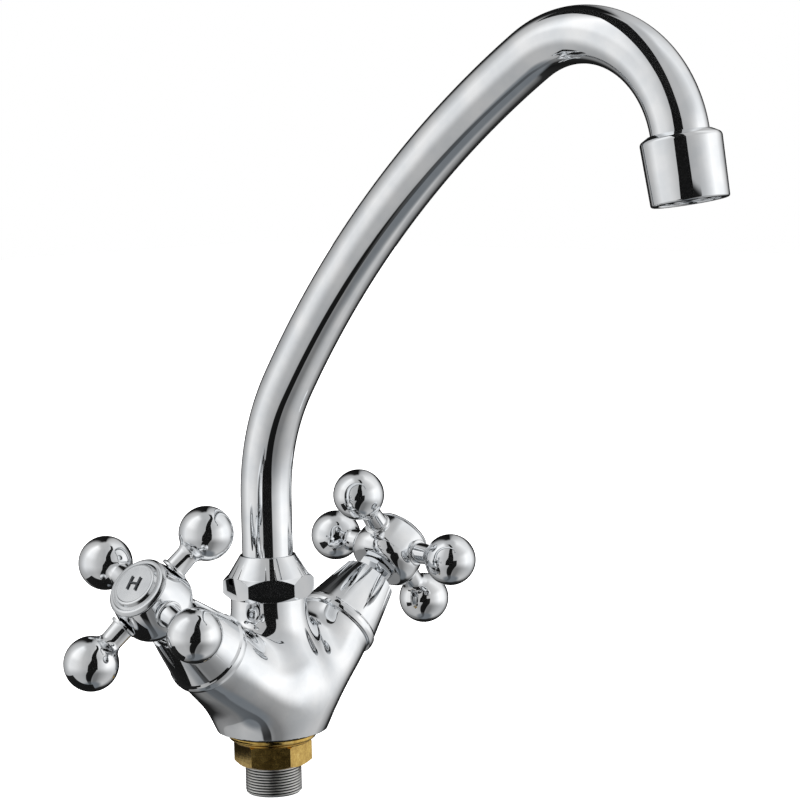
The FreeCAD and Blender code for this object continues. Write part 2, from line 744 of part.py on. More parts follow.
def index_cap():
    """Stepped disc pushed into the hub's recess by its skirt."""
    low = CROSS + HUB_TOP
    outer = HUB_RECESS_R - FIT_GAP
    return lathe([(outer - CAP_WALL, low - CAP_SKIRT), (outer, low - CAP_SKIRT), (outer, low), (HUB_TOP_R, low),
                  (HUB_TOP_R, low + CAP_RIM),
                  bulge((HUB_TOP_R, low + CAP_RIM), (CAP_RING_R, low + CAP_RING), 0.15),
                  (CAP_RING_R - CAP_LAND, low + CAP_RING), (CAP_DISC_R, low + CAP_DISC),
                  crown(CAP_DISC_R, low + CAP_DISC, CAP_TOP - CAP_DISC),
                  (0, low + CAP_RING), (outer - CAP_WALL, low + CAP_RING - CAP_RIM)])


# All nodes
save("mixer_body", mixer_body())
save("base_gasket", base_gasket())
save("fixing_nut", fixing_nut())
save("threaded_shank", threaded_shank())
save("spout_nut", spout_nut())
save("lower_slip_ring", lower_slip_ring())
save("upper_slip_ring", upper_slip_ring())
save("spout_bush", spout_bush())
save("spout_o_rings", spout_o_rings())
save("spout_tube", spout_tube())
save("outlet_fitting", outlet_fitting())
save("aerator_washer", aerator_washer())
save("aerator_housing", aerator_housing())
save("aerator_insert", aerator_insert())

FIXED_PIECES = (seat_seal, fixed_disc, headwork_gasket, headwork_body, bonnet)
TURNING_PIECES = (spindle, moving_disc, spindle_o_ring, spindle_circlip, handle_hub, handle_arms,
                  handle_screw, index_cap)
for side, prefix in ((-1, "hot_"), (1, "cold_")):
    for piece in FIXED_PIECES:
        save(prefix + piece.__name__, placed(piece(), branch_place(side)))
    for piece in TURNING_PIECES:
        save(prefix + piece.__name__, placed(piece(), handle_place(side)))
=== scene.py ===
# %% [markdown]
# # A kitchen mixer tap in mirror chrome
#
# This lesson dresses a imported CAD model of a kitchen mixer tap: a body with two slanting branches, a cross
# handle on each, a tall hook spout that swivels, and the brass nut and threaded shank that hold the tap in
# its hole. Chrome shows nothing but what stands round it, so two things matter most: skins so smooth that
# a reflection runs over them without a wobble, and a studio whose white walls and dark strips draw the
# form. We start by loading the CAD model, which is the fixed frame for everything else.

# %% Load the frame
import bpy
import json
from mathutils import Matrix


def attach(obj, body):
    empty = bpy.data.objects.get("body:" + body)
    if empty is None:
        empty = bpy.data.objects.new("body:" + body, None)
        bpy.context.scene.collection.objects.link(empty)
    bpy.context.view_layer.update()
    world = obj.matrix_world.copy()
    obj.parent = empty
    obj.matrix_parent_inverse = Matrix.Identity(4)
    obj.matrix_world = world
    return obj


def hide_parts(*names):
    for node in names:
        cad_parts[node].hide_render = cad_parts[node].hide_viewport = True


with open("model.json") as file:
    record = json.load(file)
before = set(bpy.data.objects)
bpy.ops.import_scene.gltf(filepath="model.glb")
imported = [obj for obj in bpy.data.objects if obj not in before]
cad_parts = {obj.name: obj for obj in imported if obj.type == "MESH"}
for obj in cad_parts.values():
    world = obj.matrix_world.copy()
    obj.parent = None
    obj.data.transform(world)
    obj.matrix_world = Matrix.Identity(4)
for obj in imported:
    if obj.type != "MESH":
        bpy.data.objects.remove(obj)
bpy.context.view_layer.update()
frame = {"nodes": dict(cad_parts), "record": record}

# %% [markdown]
# Blender works in metres and a tap maker in millimetres, so sizes are written in millimetres and turned
# into metres where they are used. The helpers in this cell only do that, and clear the selection, because
# every operator acts on all that is selected.

# %% Units and selection
import json
import math

import bmesh
import bpy
from mathutils import Matrix, Vector

MM = 0.001


def metres(*millimetres):
    return Vector([value * MM for value in millimetres])


def nothing_selected():
    """Leave edit mode and clear the selection."""
    if bpy.context.object and bpy.context.object.mode != "OBJECT":
        bpy.ops.object.mode_set(mode="OBJECT")
    bpy.ops.object.select_all(action="DESELECT")


def only(piece):
    """Select one object and make it the active one."""
    nothing_selected()
    piece.select_set(True)
    bpy.context.view_layer.objects.active = piece


def edit(piece):
    """Open one piece in edit mode with all its points selected."""
    only(piece)
    bpy.ops.object.mode_set(mode="EDIT")
    bpy.ops.mesh.select_mode(type="VERT")
    bpy.ops.mesh.select_all(action="SELECT")


nothing_selected()

# %% [markdown]
# ## Driving sizes
#
# These are the sizes that the CAD model was built to: the slant of the branches, the circles that the spout
# is bent to, and the rings of the turned pieces. Everything that follows is worked out from them.

# %% Driving sizes
BRANCH_TILT = math.radians(40)      # above the deck
BRANCH_RAKE = math.radians(4)       # towards the front
BRANCH_START = 5.5                  # height where both branch axes meet the middle
CROSS = 79.76                       # from there to the middle of a cross
HOT_TURN = 22.5                     # degrees that each cross is turned in its own plane
COLD_TURN = 4.6
TUBE_R = 9.0
TUBE_WALL = 1.0
TUBE_FOOT = 46.0
TUBE_RISE = 82.1
SPOUT_ARCS = ((76.7, 32.45), (354.6, 25.3), (37.2, 112.25))


def branch_frame(side):
    """Frame with Z along a branch: side is -1 for hot, 1 for cold."""
    out = Vector((side * math.cos(BRANCH_TILT) * math.cos(BRANCH_RAKE),
                  -math.cos(BRANCH_TILT) * math.sin(BRANCH_RAKE), math.sin(BRANCH_TILT)))
    rise = Vector((-side * math.sin(BRANCH_TILT) * math.cos(BRANCH_RAKE),
                   math.sin(BRANCH_TILT) * math.sin(BRANCH_RAKE), math.cos(BRANCH_TILT)))
    turned = Matrix((rise, out.cross(rise), out)).transposed().to_4x4()
    return Matrix.Translation(metres(0, 0, BRANCH_START)) @ turned


def handle_frame(side):
    """Frame of a cross handle, with X along its first arm."""
    turn = HOT_TURN if side < 0 else COLD_TURN
    return branch_frame(side) @ Matrix.Rotation(math.radians(side * (90 + turn)), 4, "Z")


SIDES = ((-1, "hot"), (1, "cold"))
print("cross centres:", [[round(v / MM, 1) for v in branch_frame(s) @ metres(0, 0, CROSS)] for s, _ in SIDES])

# %% [markdown]
# ## Turned pieces
#
# Most of a tap comes off a lathe. By hand in Blender that is: draw half of the outline, point by point, and
# spin it round the axis. Real edges are never sharp, and in chrome the small rounding is what catches the
# light, so each corner of the outline carries its own rounding radius.

# %% Outline and spin
TURNS = 128             # steps round a full turn
WELD = 0.002            # mm; nearer points are one


def rounded(corners, closed=True, steps=6):
    """Points of an outline whose corners (radius, height, rounding) are replaced by small arcs."""
    points = []
    count = len(corners)
    for index, (r, z, rounding) in enumerate(corners):
        here = Vector((r, z))
        at_end = not closed and index in (0, count - 1)
        if rounding <= 0 or at_end:
            points.append(here)
            continue
        before = Vector(corners[index - 1][:2])
        after = Vector(corners[(index + 1) % count][:2])
        back = (before - here).normalized()
        ahead = (after - here).normalized()
        half = back.angle(ahead) / 2
        reach = min(rounding / math.tan(half), 0.49 * (before - here).length, 0.49 * (after - here).length)
        radius = reach * math.tan(half)
        centre = here + (back + ahead).normalized() * (radius / math.sin(half))
        start = here + back * reach - centre
        sweep = start.angle_signed(here + ahead * reach - centre)
        for step in range(steps + 1):
            points.append(centre + Matrix.Rotation(-sweep * step / steps, 2) @ start)
    return points


def arc_points(start, end, rise, steps=24):
    """Points from start to end on an arc whose middle lies rise to the right of the way."""
    a = Vector(start)
    b = Vector(end)
    chord = b - a
    half = chord.length / 2
    radius = (half * half + rise * rise) / (2 * abs(rise))
    right = Vector((chord.y, -chord.x)).normalized() * (1 if rise > 0 else -1)
    centre = (a + b) / 2 - right * (radius - abs(rise))
    span = 2 * math.asin(min(1, half / radius))
    first = a - centre
    sign = 1 if first.angle_signed(b - centre) < 0 else -1
    return [centre + Matrix.Rotation(sign * span * i / steps, 2) @ first for i in range(steps + 1)]


def draw_outline(name, points, closed=True):
    """One vertex, extruded from point to point, as by hand."""
    nothing_selected()
    bpy.ops.mesh.primitive_plane_add(size=MM)
    piece = bpy.context.object
    piece.name = name
    piece.data.name = name
    edit(piece)
    bpy.ops.mesh.merge(type="CENTER")
    bpy.ops.transform.translate(value=metres(points[0][0], 0, points[0][1]))
    here = points[0]
    for there in list(points[1:]) + ([points[0]] if closed else []):
        step = metres(there[0] - here[0], 0, there[1] - here[1])
        bpy.ops.mesh.extrude_region_move(TRANSFORM_OT_translate={"value": step})
        here = there
    bpy.ops.mesh.select_all(action="SELECT")
    bpy.ops.mesh.remove_doubles(threshold=WELD * MM)
    return piece


def weld(near=WELD):
    """Merge points this near (mm), turn the faces outwards and leave edit mode."""
    bpy.ops.mesh.select_all(action="SELECT")
    bpy.ops.mesh.remove_doubles(threshold=near * MM)
    bpy.ops.mesh.normals_make_consistent(inside=False)
    bpy.ops.object.mode_set(mode="OBJECT")


def spin_piece(name, points, closed=True, turns=TURNS):
    """Spin an outline about Z, weld the seam and turn its faces outwards."""
    piece = draw_outline(name, points, closed)
    bpy.ops.mesh.select_all(action="SELECT")
    bpy.ops.mesh.spin(steps=turns, angle=2 * math.pi, center=(0, 0, 0), axis=(0, 0, 1))
    weld()
    return piece


print("a full turn takes", TURNS, "steps")

# %% [markdown]
# A finished piece is treated the same way each time: it is moved to its place in the tap, shaded smooth except
# at its real edges, and handed over to the CAD frame. Holes are drilled as in a workshop, with a cylinder that
# is taken away from the piece. These steps come back for every piece, so each becomes a small helper.

# %% Place, shade and hand over
def just_added(name):
    """The object that an operator has just added, named, with its place put into its mesh."""
    piece = bpy.context.object
    piece.name = name
    bpy.ops.object.transform_apply(location=True, rotation=True, scale=True)
    return piece


def place(piece, matrix):
    """Move a finished mesh to its place and leave the object at the origin."""
    only(piece)
    piece.matrix_world = matrix
    bpy.ops.object.transform_apply(location=True, rotation=True, scale=True)


def smooth(piece, degrees=30):
    """Shade smooth, but keep edges sharper than this sharp."""
    only(piece)
    bpy.ops.object.shade_smooth_by_angle(angle=math.radians(degrees))


def apply_modifier(piece, kind, **settings):
    """Add one modifier, set it and apply it."""
    only(piece)
    modifier = piece.modifiers.new(kind.title(), kind)
    for key, value in settings.items():
        setattr(modifier, key, value)
    bpy.ops.object.modifier_apply(modifier=modifier.name)


def carve(piece, tool, operation="DIFFERENCE"):
    """Cut a piece with a tool, and throw the tool away."""
    apply_modifier(piece, "BOOLEAN", operation=operation, object=tool, solver="EXACT")
    bpy.data.objects.remove(tool)


def cylinder(radius, low, high, steps=96):
    """A cylinder that stands on Z between two heights."""
    nothing_selected()
    bpy.ops.mesh.primitive_cylinder_add(vertices=steps, radius=radius * MM, depth=(high - low) * MM,
                                        location=metres(0, 0, (low + high) / 2))
    return just_added("cylinder")


def add_to(piece, other):
    """Join another piece into one."""
    only(piece)
    other.select_set(True)
    bpy.ops.object.join()


def triangles(piece):
    return sum(len(face.vertices) - 2 for face in piece.data.polygons)


made = {}               # slot of each finished piece


def hand_over(piece, body, node, slot):
    """A finished piece rides on a body, stands for a CAD node and takes a slot's finish."""
    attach(piece, body)
    if node:
        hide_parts(node)
    made[piece.name] = slot
    print(piece.name + ":", triangles(piece), "triangles")


# %% [markdown]
# ## Body
#
# The body is one brass casting: a bell that swells from its rim and flares into the neck, with a branch
# growing out of each side through a soft blend. A blend is hard to draw face by face, so we let Blender grow
# it: spin the bell and the two branches a little longer than they are, weld them into one skin by a fine
# voxel remesh, and relax the skin until the creases have turned into blends. The relaxed ends are then cut
# off flat by bisecting, which gives crisp rims again.

# %% Bell and branches
BASE_R = 20.3
BELL_R = 23.4
BELL_Z = 16.0
NECK_R = 13.5
NECK_Z = 45.0
NUT_FOOT_Z = 47.5
BRANCH_ROOT = 12.0
BRANCH_ROOT_R = 14.4
BRANCH_ROOT_W = 22.3    # half width of the oval root, front to back, nearly flush with the bell
BRANCH_END = 41.3
BRANCH_END_R = 14.0
SKIN = 0.55             # size of a voxel
OVER = 8.0              # how far the raw ends stand beyond the finished ones


def bell_points():
    """Swelling wall and flared neck, carried on past both ends."""
    wall_r = ((BELL_R - BASE_R) ** 2 + BELL_Z ** 2) / (2 * (BELL_R - BASE_R))
    low = -OVER
    points = [Vector((0, low))]
    for step in range(17):
        z = low + (BELL_Z - low) * step / 16
        points.append(Vector((BELL_R - wall_r + math.sqrt(wall_r ** 2 - (BELL_Z - z) ** 2), z)))
    sweep = 2 * math.atan((BELL_R - NECK_R) / (NECK_Z - BELL_Z))
    flare_r = (NECK_Z - BELL_Z) / (2 * math.sin(sweep))
    for step in range(1, 13):
        turn = sweep * step / 12
        points.append(Vector((BELL_R - flare_r * (1 - math.cos(turn)), BELL_Z + flare_r * math.sin(turn))))
    for step in range(1, 13):
        turn = sweep * (12 - step) / 12
        points.append(Vector((NECK_R + flare_r * (1 - math.cos(turn)), NECK_Z - flare_r * math.sin(turn))))
    top = NUT_FOOT_Z + OVER
    points += [Vector((NECK_R, top)), Vector((0, top))]
    return points


body = spin_piece("body_skin", bell_points(), closed=False)
slope = (BRANCH_END_R - BRANCH_ROOT_R) / (BRANCH_END - BRANCH_ROOT)
end = BRANCH_END + OVER
for side, word in SIDES:
    raw = [(0, BRANCH_ROOT), (BRANCH_ROOT_R, BRANCH_ROOT), (BRANCH_END_R, BRANCH_END),
           (BRANCH_END_R + slope * OVER, end), (0, end)]
    limb = spin_piece(word + "_branch_skin", [Vector(p) for p in raw], closed=False)
    bpy.ops.object.mode_set(mode="EDIT")
    mesh = bmesh.from_edit_mesh(limb.data)
    for vert in mesh.verts:
        vert.select = vert.co.z < (BRANCH_ROOT + 1) * MM
    bmesh.update_edit_mesh(limb.data)
    bpy.ops.transform.resize(value=(1, BRANCH_ROOT_W / BRANCH_ROOT_R, 1), center_override=metres(0, 0, BRANCH_ROOT))
    bpy.ops.object.mode_set(mode="OBJECT")
    place(limb, branch_frame(side))
    add_to(body, limb)
apply_modifier(body, "REMESH", mode="VOXEL", voxel_size=SKIN * MM)
print("welded skin:", triangles(body), "triangles")

# %% [markdown]
# In the real casting the branches flow out of the bell without an edge, because sand and polishing wheel both
# round every inner corner. A fillet could be drawn by hand, but its width changes all the way round. Smoothing
# does it by itself: points near the crease are relaxed many times, the rest only enough to lose the voxel
# steps. How strongly a point is relaxed falls off with its distance from both forms.

# %% Relax the skin
RELAX = 40              # rounds over the whole skin, against the steps of the voxels
BLEND_RELAX = 700       # rounds near the creases
BLEND = 13.0            # mm away from the other form where these stop


def bell_radius(z):
    """Radius of the bell at a height, read from its outline."""
    wall = [p for p in bell_points() if p.x > 0]
    for low, high in zip(wall, wall[1:]):
        if low.y <= z <= high.y:
            return low.x + (high.x - low.x) * (z - low.y) / max(high.y - low.y, 1e-6)
    return wall[-1].x


def outside_branch(point, side):
    """Roughly how far a point lies outside the tapering oval of a branch, in mm."""
    local = branch_frame(side).inverted() @ point / MM
    along = min(max((local.z - BRANCH_ROOT) / (BRANCH_END - BRANCH_ROOT), 0), 1)
    high = BRANCH_ROOT_R + (BRANCH_END_R - BRANCH_ROOT_R) * along
    wide = BRANCH_ROOT_W + (BRANCH_END_R - BRANCH_ROOT_W) * along
    share = math.hypot(local.x / high, local.y / wide)
    return (1 - 1 / share) * math.hypot(local.x, local.y) if share > 1 else 0.0


radii = [bell_radius(z / 2) for z in range(-14, 112)]
crease = body.vertex_groups.new(name="crease")
for vert in body.data.vertices:
    x, y, z = vert.co / MM
    row = min(max(round(2 * z) + 14, 0), len(radii) - 1)
    off_bell = max(math.hypot(x, y) - radii[row], 0)
    off_branch = min(outside_branch(vert.co, side) for side, _ in SIDES)
    near = max(0.0, 1 - (off_bell + off_branch) / BLEND)
    if near > 0:
        crease.add([vert.index], near * near * (3 - 2 * near), "REPLACE")
apply_modifier(body, "SMOOTH", factor=0.5, iterations=RELAX)
apply_modifier(body, "SMOOTH", factor=0.5, iterations=BLEND_RELAX, vertex_group="crease")
body.vertex_groups.clear()
print("relaxed skin:", len(body.data.vertices), "points")

# %% [markdown]
# The casting is then faced off on a lathe: at the deck, under the spout nut and at the end of each branch. One
# bisecting plane does each cut and closes it. The cuts leave slivers, which would spoil the bevels of the next
# step, so points that lie very close together are merged.

# %% Trim the skin
SLIVER = 0.12           # mm; shorter edges at the cuts are merged


def cut_flat(piece, point, normal, near=0.1):
    """Cut at a plane, drop what lies beyond and close the cut. Points this near (mm) count as on the plane."""
    edit(piece)
    bpy.ops.mesh.bisect(plane_co=point, plane_no=normal, use_fill=True, clear_outer=True, threshold=near * MM)
    bpy.ops.object.mode_set(mode="OBJECT")


cut_flat(body, metres(0, 0, 0), (0, 0, -1))
cut_flat(body, metres(0, 0, NUT_FOOT_Z), (0, 0, 1))
for side, _ in SIDES:
    there = branch_frame(side)
    cut_flat(body, there @ metres(0, 0, BRANCH_END), there.to_3x3() @ Vector((0, 0, 1)))
edit(body)
weld(SLIVER)
print("trimmed skin:", triangles(body), "triangles")

# %% [markdown]
# The rims get a small bevel, found by the sharp angle at the cuts, and then the ways inside are bored: the
# socket of the swivel bush, the two branch bores for the headworks, and the recess that the shank is
# screwed into. They are hidden once the tap is assembled, but pieces that turn stand in them.

# %% Rims and bores
RIM = 0.6
SOCKET_R = 10.5         # swivel bush of the spout
SOCKET_FLOOR = 34.0
BRANCH_BORE_R = 9.5
SEAT = 21.0             # where a headwork presses on its seal
SHANK_R = 10.0
SHANK_DEPTH = 6.0
THREAD_GAP = 0.05
INLET_R = 3.46          # tapped for the M8 supply tails
INLET_OFF = 4.2
INLET_TOP = 14.0
CLEAR = 15.0            # how far a drill stands out of its hole


def bore(piece, radius, low, high, matrix=Matrix.Identity(4), steps=96):
    """Drill a round hole between two heights of a frame."""
    drill = cylinder(radius, low, high, steps)
    place(drill, matrix)
    carve(piece, drill)


apply_modifier(body, "BEVEL", width=RIM * MM, segments=4, limit_method="ANGLE", angle_limit=math.radians(50))
bore(body, SOCKET_R, SOCKET_FLOOR, NUT_FOOT_Z + CLEAR)
bore(body, SHANK_R + THREAD_GAP, -CLEAR, SHANK_DEPTH)
for side, _ in SIDES:
    bore(body, BRANCH_BORE_R, SEAT, BRANCH_END + CLEAR, branch_frame(side))
    bore(body, INLET_R, SHANK_DEPTH - 2, INLET_TOP, Matrix.Translation(metres(side * INLET_OFF, 0, 0)))
smooth(body, 35)
apply_modifier(body, "WEIGHTED_NORMAL", keep_sharp=True, weight=50)
body.name = "polished_body"
hand_over(body, "tap_body", "mixer_body", "chrome_plate")

# %% [markdown]
# ## Spout
#
# The spout is one length of tube bent on three circles: a quick lean forward, a long lazy sweep, and the
# tight hook. A circle is spun about the centre of each bend in turn, and Solidify gives the wall.

# %% Spout tube
RING = 96               # points round the tube
BEND_STEP = 1.6         # mm of arc in one step of a bend
SOCKET_L = 5.0          # straight end inside the outlet sleeve


def spout_bends():
    """Centre, steps and sweep of each bend, with the end and heading of the last."""
    here = Vector((0, 0, TUBE_RISE))
    heading = 0.0
    bends = []
    for radius, sweep in SPOUT_ARCS:
        centre = here + radius * Vector((0, -math.cos(heading), -math.sin(heading)))
        turn = math.radians(sweep)
        bends.append((centre, turn, max(8, round(radius * turn / BEND_STEP))))
        here = centre + Matrix.Rotation(turn, 3, "X") @ (here - centre)
        heading += turn
    return bends, here, heading


bends, spout_end, spout_heading = spout_bends()
nothing_selected()
bpy.ops.mesh.primitive_circle_add(vertices=RING, radius=TUBE_R * MM, location=metres(0, 0, TUBE_FOOT))
spout = just_added("bent_spout")
edit(spout)
bpy.ops.mesh.extrude_region_move(TRANSFORM_OT_translate={"value": metres(0, 0, TUBE_RISE - TUBE_FOOT)})
for centre, turn, steps in bends:
    bpy.ops.mesh.spin(steps=steps, angle=-turn, center=centre * MM, axis=(1, 0, 0))
socket = SOCKET_L * Vector((0, -math.sin(spout_heading), math.cos(spout_heading)))
bpy.ops.mesh.extrude_region_move(TRANSFORM_OT_translate={"value": socket * MM})
weld()
print("spout ends at", [round(v, 1) for v in spout_end], "heading", round(math.degrees(spout_heading), 1))
apply_modifier(spout, "SOLIDIFY", thickness=TUBE_WALL * MM, offset=-1)
smooth(spout, 40)
hand_over(spout, "spout", "spout_tube", "chrome_plate")

# %% [markdown]
# The sleeve at the end of the tube is turned from bar: a rounded shoulder, a slight taper and a polished
# rim. Inside it sits the aerator, a threaded ring round a plastic grid that breaks the water into drops.

# %% Outlet sleeve and aerator
OUTLET_L = 21.0
OUTLET_R = 12.55
OUTLET_END_R = 12.0
OUTLET_BORE_R = 9.8
AERATOR_LOW = 8.0
AERATOR_FACE = OUTLET_L - 1.2


def outlet_frame():
    """Frame at the end of the bends, with Z the way the water leaves."""
    return Matrix.Translation(spout_end * MM) @ Matrix.Rotation(spout_heading, 4, "X")


sleeve_corners = [
    (TUBE_R + 0.02, 0.1, 0), (9.8, 0.0, 0.3), (OUTLET_R, 1.6, 1.5), (OUTLET_END_R, OUTLET_L, 0.7),
    (OUTLET_BORE_R + 0.25, OUTLET_L, 0.3), (OUTLET_BORE_R, OUTLET_L - 0.5, 0.1), (OUTLET_BORE_R, 6.5, 0.1),
    (TUBE_R - TUBE_WALL, 6.5, 0.1), (TUBE_R - TUBE_WALL, SOCKET_L, 0), (TUBE_R + 0.02, SOCKET_L, 0)]
sleeve = spin_piece("outlet_sleeve", rounded(sleeve_corners))
place(sleeve, outlet_frame())
smooth(sleeve)
hand_over(sleeve, "spout", "outlet_fitting", "chrome_plate")

ring_corners = [
    (9.72, AERATOR_LOW, 0.2), (9.72, AERATOR_FACE, 0.35), (8.1, AERATOR_FACE, 0.4),
    (7.75, AERATOR_FACE - 0.7, 0.2), (8.65, AERATOR_FACE - 0.9, 0.1), (8.65, AERATOR_LOW, 0.1)]
aerator_ring = spin_piece("aerator_ring", rounded(ring_corners))
place(aerator_ring, outlet_frame())
smooth(aerator_ring)
hand_over(aerator_ring, "spout", "aerator_housing", "chrome_plate")
print("outlet points", [round(v, 2) for v in outlet_frame().to_3x3() @ Vector((0, 0, 1))])

# %% [markdown]
# From below, the outlet shows a plate of small square holes in dark plastic. It could be drilled hole by hole,
# but a grid of faces is quicker: every face is inset, what is left in its middle is thrown away, and the bars
# get a thickness, soft edges and a round outline.

# %% Aerator grid
GRID_CELL = 1.45
GRID_FACE = AERATOR_FACE - 1.0
GRID_T = 2.0
GRID_R = 8.45
GRID_RIM = 0.9          # edge without holes
GRID_BAR = 0.22         # half the width of a bar

nothing_selected()
cells = int(2 * GRID_R / GRID_CELL)
bpy.ops.mesh.primitive_grid_add(x_subdivisions=cells, y_subdivisions=cells, size=2 * GRID_R * MM,
                                location=metres(0, 0, GRID_FACE))
grid = just_added("aerator_grid")
bpy.ops.object.mode_set(mode="EDIT")
mesh = bmesh.from_edit_mesh(grid.data)
for face in mesh.faces:
    face.select = face.calc_center_median().xy.length < (GRID_R - GRID_RIM) * MM
bmesh.update_edit_mesh(grid.data)
bpy.ops.mesh.select_mode(type="FACE")
bpy.ops.mesh.inset(thickness=GRID_BAR * MM, use_individual=True)
bpy.ops.mesh.delete(type="FACE")
bpy.ops.object.mode_set(mode="OBJECT")
apply_modifier(grid, "SOLIDIFY", thickness=GRID_T * MM, offset=-1)
apply_modifier(grid, "BEVEL", width=0.08 * MM, segments=2, limit_method="ANGLE")
carve(grid, cylinder(GRID_R, GRID_FACE - CLEAR, GRID_FACE + CLEAR), "INTERSECT")
place(grid, outlet_frame())
smooth(grid)
hand_over(grid, "spout", "aerator_insert", "dark_plastic")
print("grid of", cells, "cells across")

# %% [markdown]
# ## Spout nut
#
# A cone stands on a hexagon: cutting six flats off a turned form leaves an arch at the head of each flat,
# because a flat plane cuts a cone in a curve. Bisect does exactly what the milling cutter does.

# %% Spout nut
NUT_AF = 28.0
NUT_TURN = math.radians(229)
NUT_TOP = 62.5
NUT_WIDE_R = 16.45      # before milling
FLAT_AREA = 40.0        # mm2; only the milled flats are larger faces


def mill_flats(piece, across, turn):
    """Cut six upright flats, each by one bisecting plane."""
    for index in range(6):
        angle = turn + index * math.pi / 3
        normal = Vector((math.cos(angle), math.sin(angle), 0))
        cut_flat(piece, normal * (across / 2 * MM), normal)


def crisp(piece, width, degrees=22):
    """Break the edges with a small rounding and keep the flats flat."""
    apply_modifier(piece, "BEVEL", width=width * MM, segments=3, limit_method="ANGLE",
                   angle_limit=math.radians(degrees), use_clamp_overlap=True)
    for face in piece.data.polygons:
        if face.area > FLAT_AREA * MM * MM:
            facing, middle = face.normal.copy(), face.center.copy()
            for index in face.vertices:
                spot = piece.data.vertices[index]
                spot.co -= facing * facing.dot(spot.co - middle)
    smooth(piece, 45)
    apply_modifier(piece, "WEIGHTED_NORMAL", keep_sharp=True, weight=100)


nut_corners = [
    (13.0, NUT_FOOT_Z + 0.05, 0), (14.0, NUT_FOOT_Z, 0.3), (NUT_WIDE_R, 49.5, 0), (NUT_WIDE_R, 53.3, 0),
    (14.2, 55.3, 1.6), (9.8, NUT_TOP, 0.25), (9.32, NUT_TOP - 0.05, 0.1), (9.32, 56.4, 0), (12.05, 56.4, 0),
    (12.05, NUT_FOOT_Z + 0.05, 0)]
spout_nut = spin_piece("spout_nut_hex", rounded(nut_corners), turns=192)
mill_flats(spout_nut, NUT_AF, NUT_TURN)
crisp(spout_nut, 0.22)
hand_over(spout_nut, "tap_body", "spout_nut", "chrome_plate")

# %% [markdown]
# ## Bonnets
#
# A bonnet hides the headwork. It is a thin cone with a rolled lip, and tear-shaped flutes are milled into
# its narrow end. Each flute is one stretched ball taken away from the cone, and a new ball is made for each.

# %% Bonnets
BONNET_TOP = 64.3
CONE_LOW = 45.1         # where the cone begins, above the lip
CONE_LOW_R = 14.3
CONE_TOP_R = 10.0
LIP_R = 15.1
FLUTES = 10
FLUTE_LONG = 12.0       # length of a flute
FLUTE_WIDE = 1.75       # half its greatest width
FLUTE_DEEP = 1.0
FLUTE_HEAD = 0.5        # share of its length above its widest place
FLUTE_TAIL = 0.75       # and below, of which the cone takes a part
FLUTE_POINT = 0.35      # how fast the tail narrows to its point

bonnet_corners = [
    (13.0, BRANCH_END, 0.2), (LIP_R - 0.1, BRANCH_END, 0.5), (LIP_R, 42.8, 0.8), (LIP_R - 0.15, 44.1, 0.5),
    (CONE_LOW_R + 0.35, 44.5, 0.25), (CONE_LOW_R, CONE_LOW, 0.3), (CONE_TOP_R, BONNET_TOP, 0.9),
    (8.15, BONNET_TOP, 0.3), (8.15, 58.3, 0.1), (9.4, 58.3, 0.1), (13.0, 44.3, 0.3)]


def flute_tool(turn):
    """A ball stretched along the cone, with its lower half drawn out to a point."""
    slope = math.atan((CONE_LOW_R - CONE_TOP_R) / (BONNET_TOP - CONE_LOW))
    nothing_selected()
    bpy.ops.mesh.primitive_uv_sphere_add(segments=32, ring_count=24, radius=MM)
    tool = bpy.context.object
    bpy.ops.object.mode_set(mode="EDIT")
    mesh = bmesh.from_edit_mesh(tool.data)
    for vert in mesh.verts:
        height = vert.co.z / MM
        narrow = 1.0 if height > 0 else (1.0 + height) ** FLUTE_POINT if height > -1 else 0.0
        vert.co.x *= FLUTE_DEEP * narrow
        vert.co.y *= FLUTE_WIDE * narrow
        vert.co.z *= FLUTE_LONG * (FLUTE_TAIL if height < 0 else FLUTE_HEAD)
    bmesh.update_edit_mesh(tool.data)
    bpy.ops.object.mode_set(mode="OBJECT")
    middle = BONNET_TOP - 0.2 * FLUTE_LONG
    surface = CONE_TOP_R + math.tan(slope) * (BONNET_TOP - middle)
    seat = Matrix.Translation(metres(surface + 0.15, 0, middle)) @ Matrix.Rotation(-slope, 4, "Y")
    place(tool, Matrix.Rotation(turn, 4, "Z") @ seat)
    return tool


bonnet = spin_piece("bonnet_form", rounded(bonnet_corners), turns=180)
for index in range(FLUTES):
    carve(bonnet, flute_tool(2 * math.pi * index / FLUTES))
print("bonnet:", triangles(bonnet), "triangles")


def copy_of(piece, name):
    """A copy with its own mesh."""
    twin = piece.copy()
    twin.data = piece.data.copy()
    twin.name = name
    twin.data.name = name
    bpy.context.collection.objects.link(twin)
    return twin


for side, word in SIDES:
    twin = copy_of(bonnet, word + "_fluted_bonnet")
    place(twin, branch_frame(side))
    smooth(twin, 28)
    hand_over(twin, "tap_body", word + "_bonnet", "chrome_plate")
bpy.data.objects.remove(bonnet)

# %% [markdown]
# The end of each headwork shows between bonnet and handle as a short plated hexagon, through which the
# spindle comes out. The rest is a brass turning inside the body. The hexagon is spun with its chamfer, milled
# by six bisecting planes like the nut, and joined to the turned stem.

# %% Headworks with their gland ends
GLAND_AF = 12.0
GLAND_TURN = math.radians(15)
GLAND_TOP = 69.4
STEM_TOP = 63.9
SPINDLE_HOLE_R = 4.05

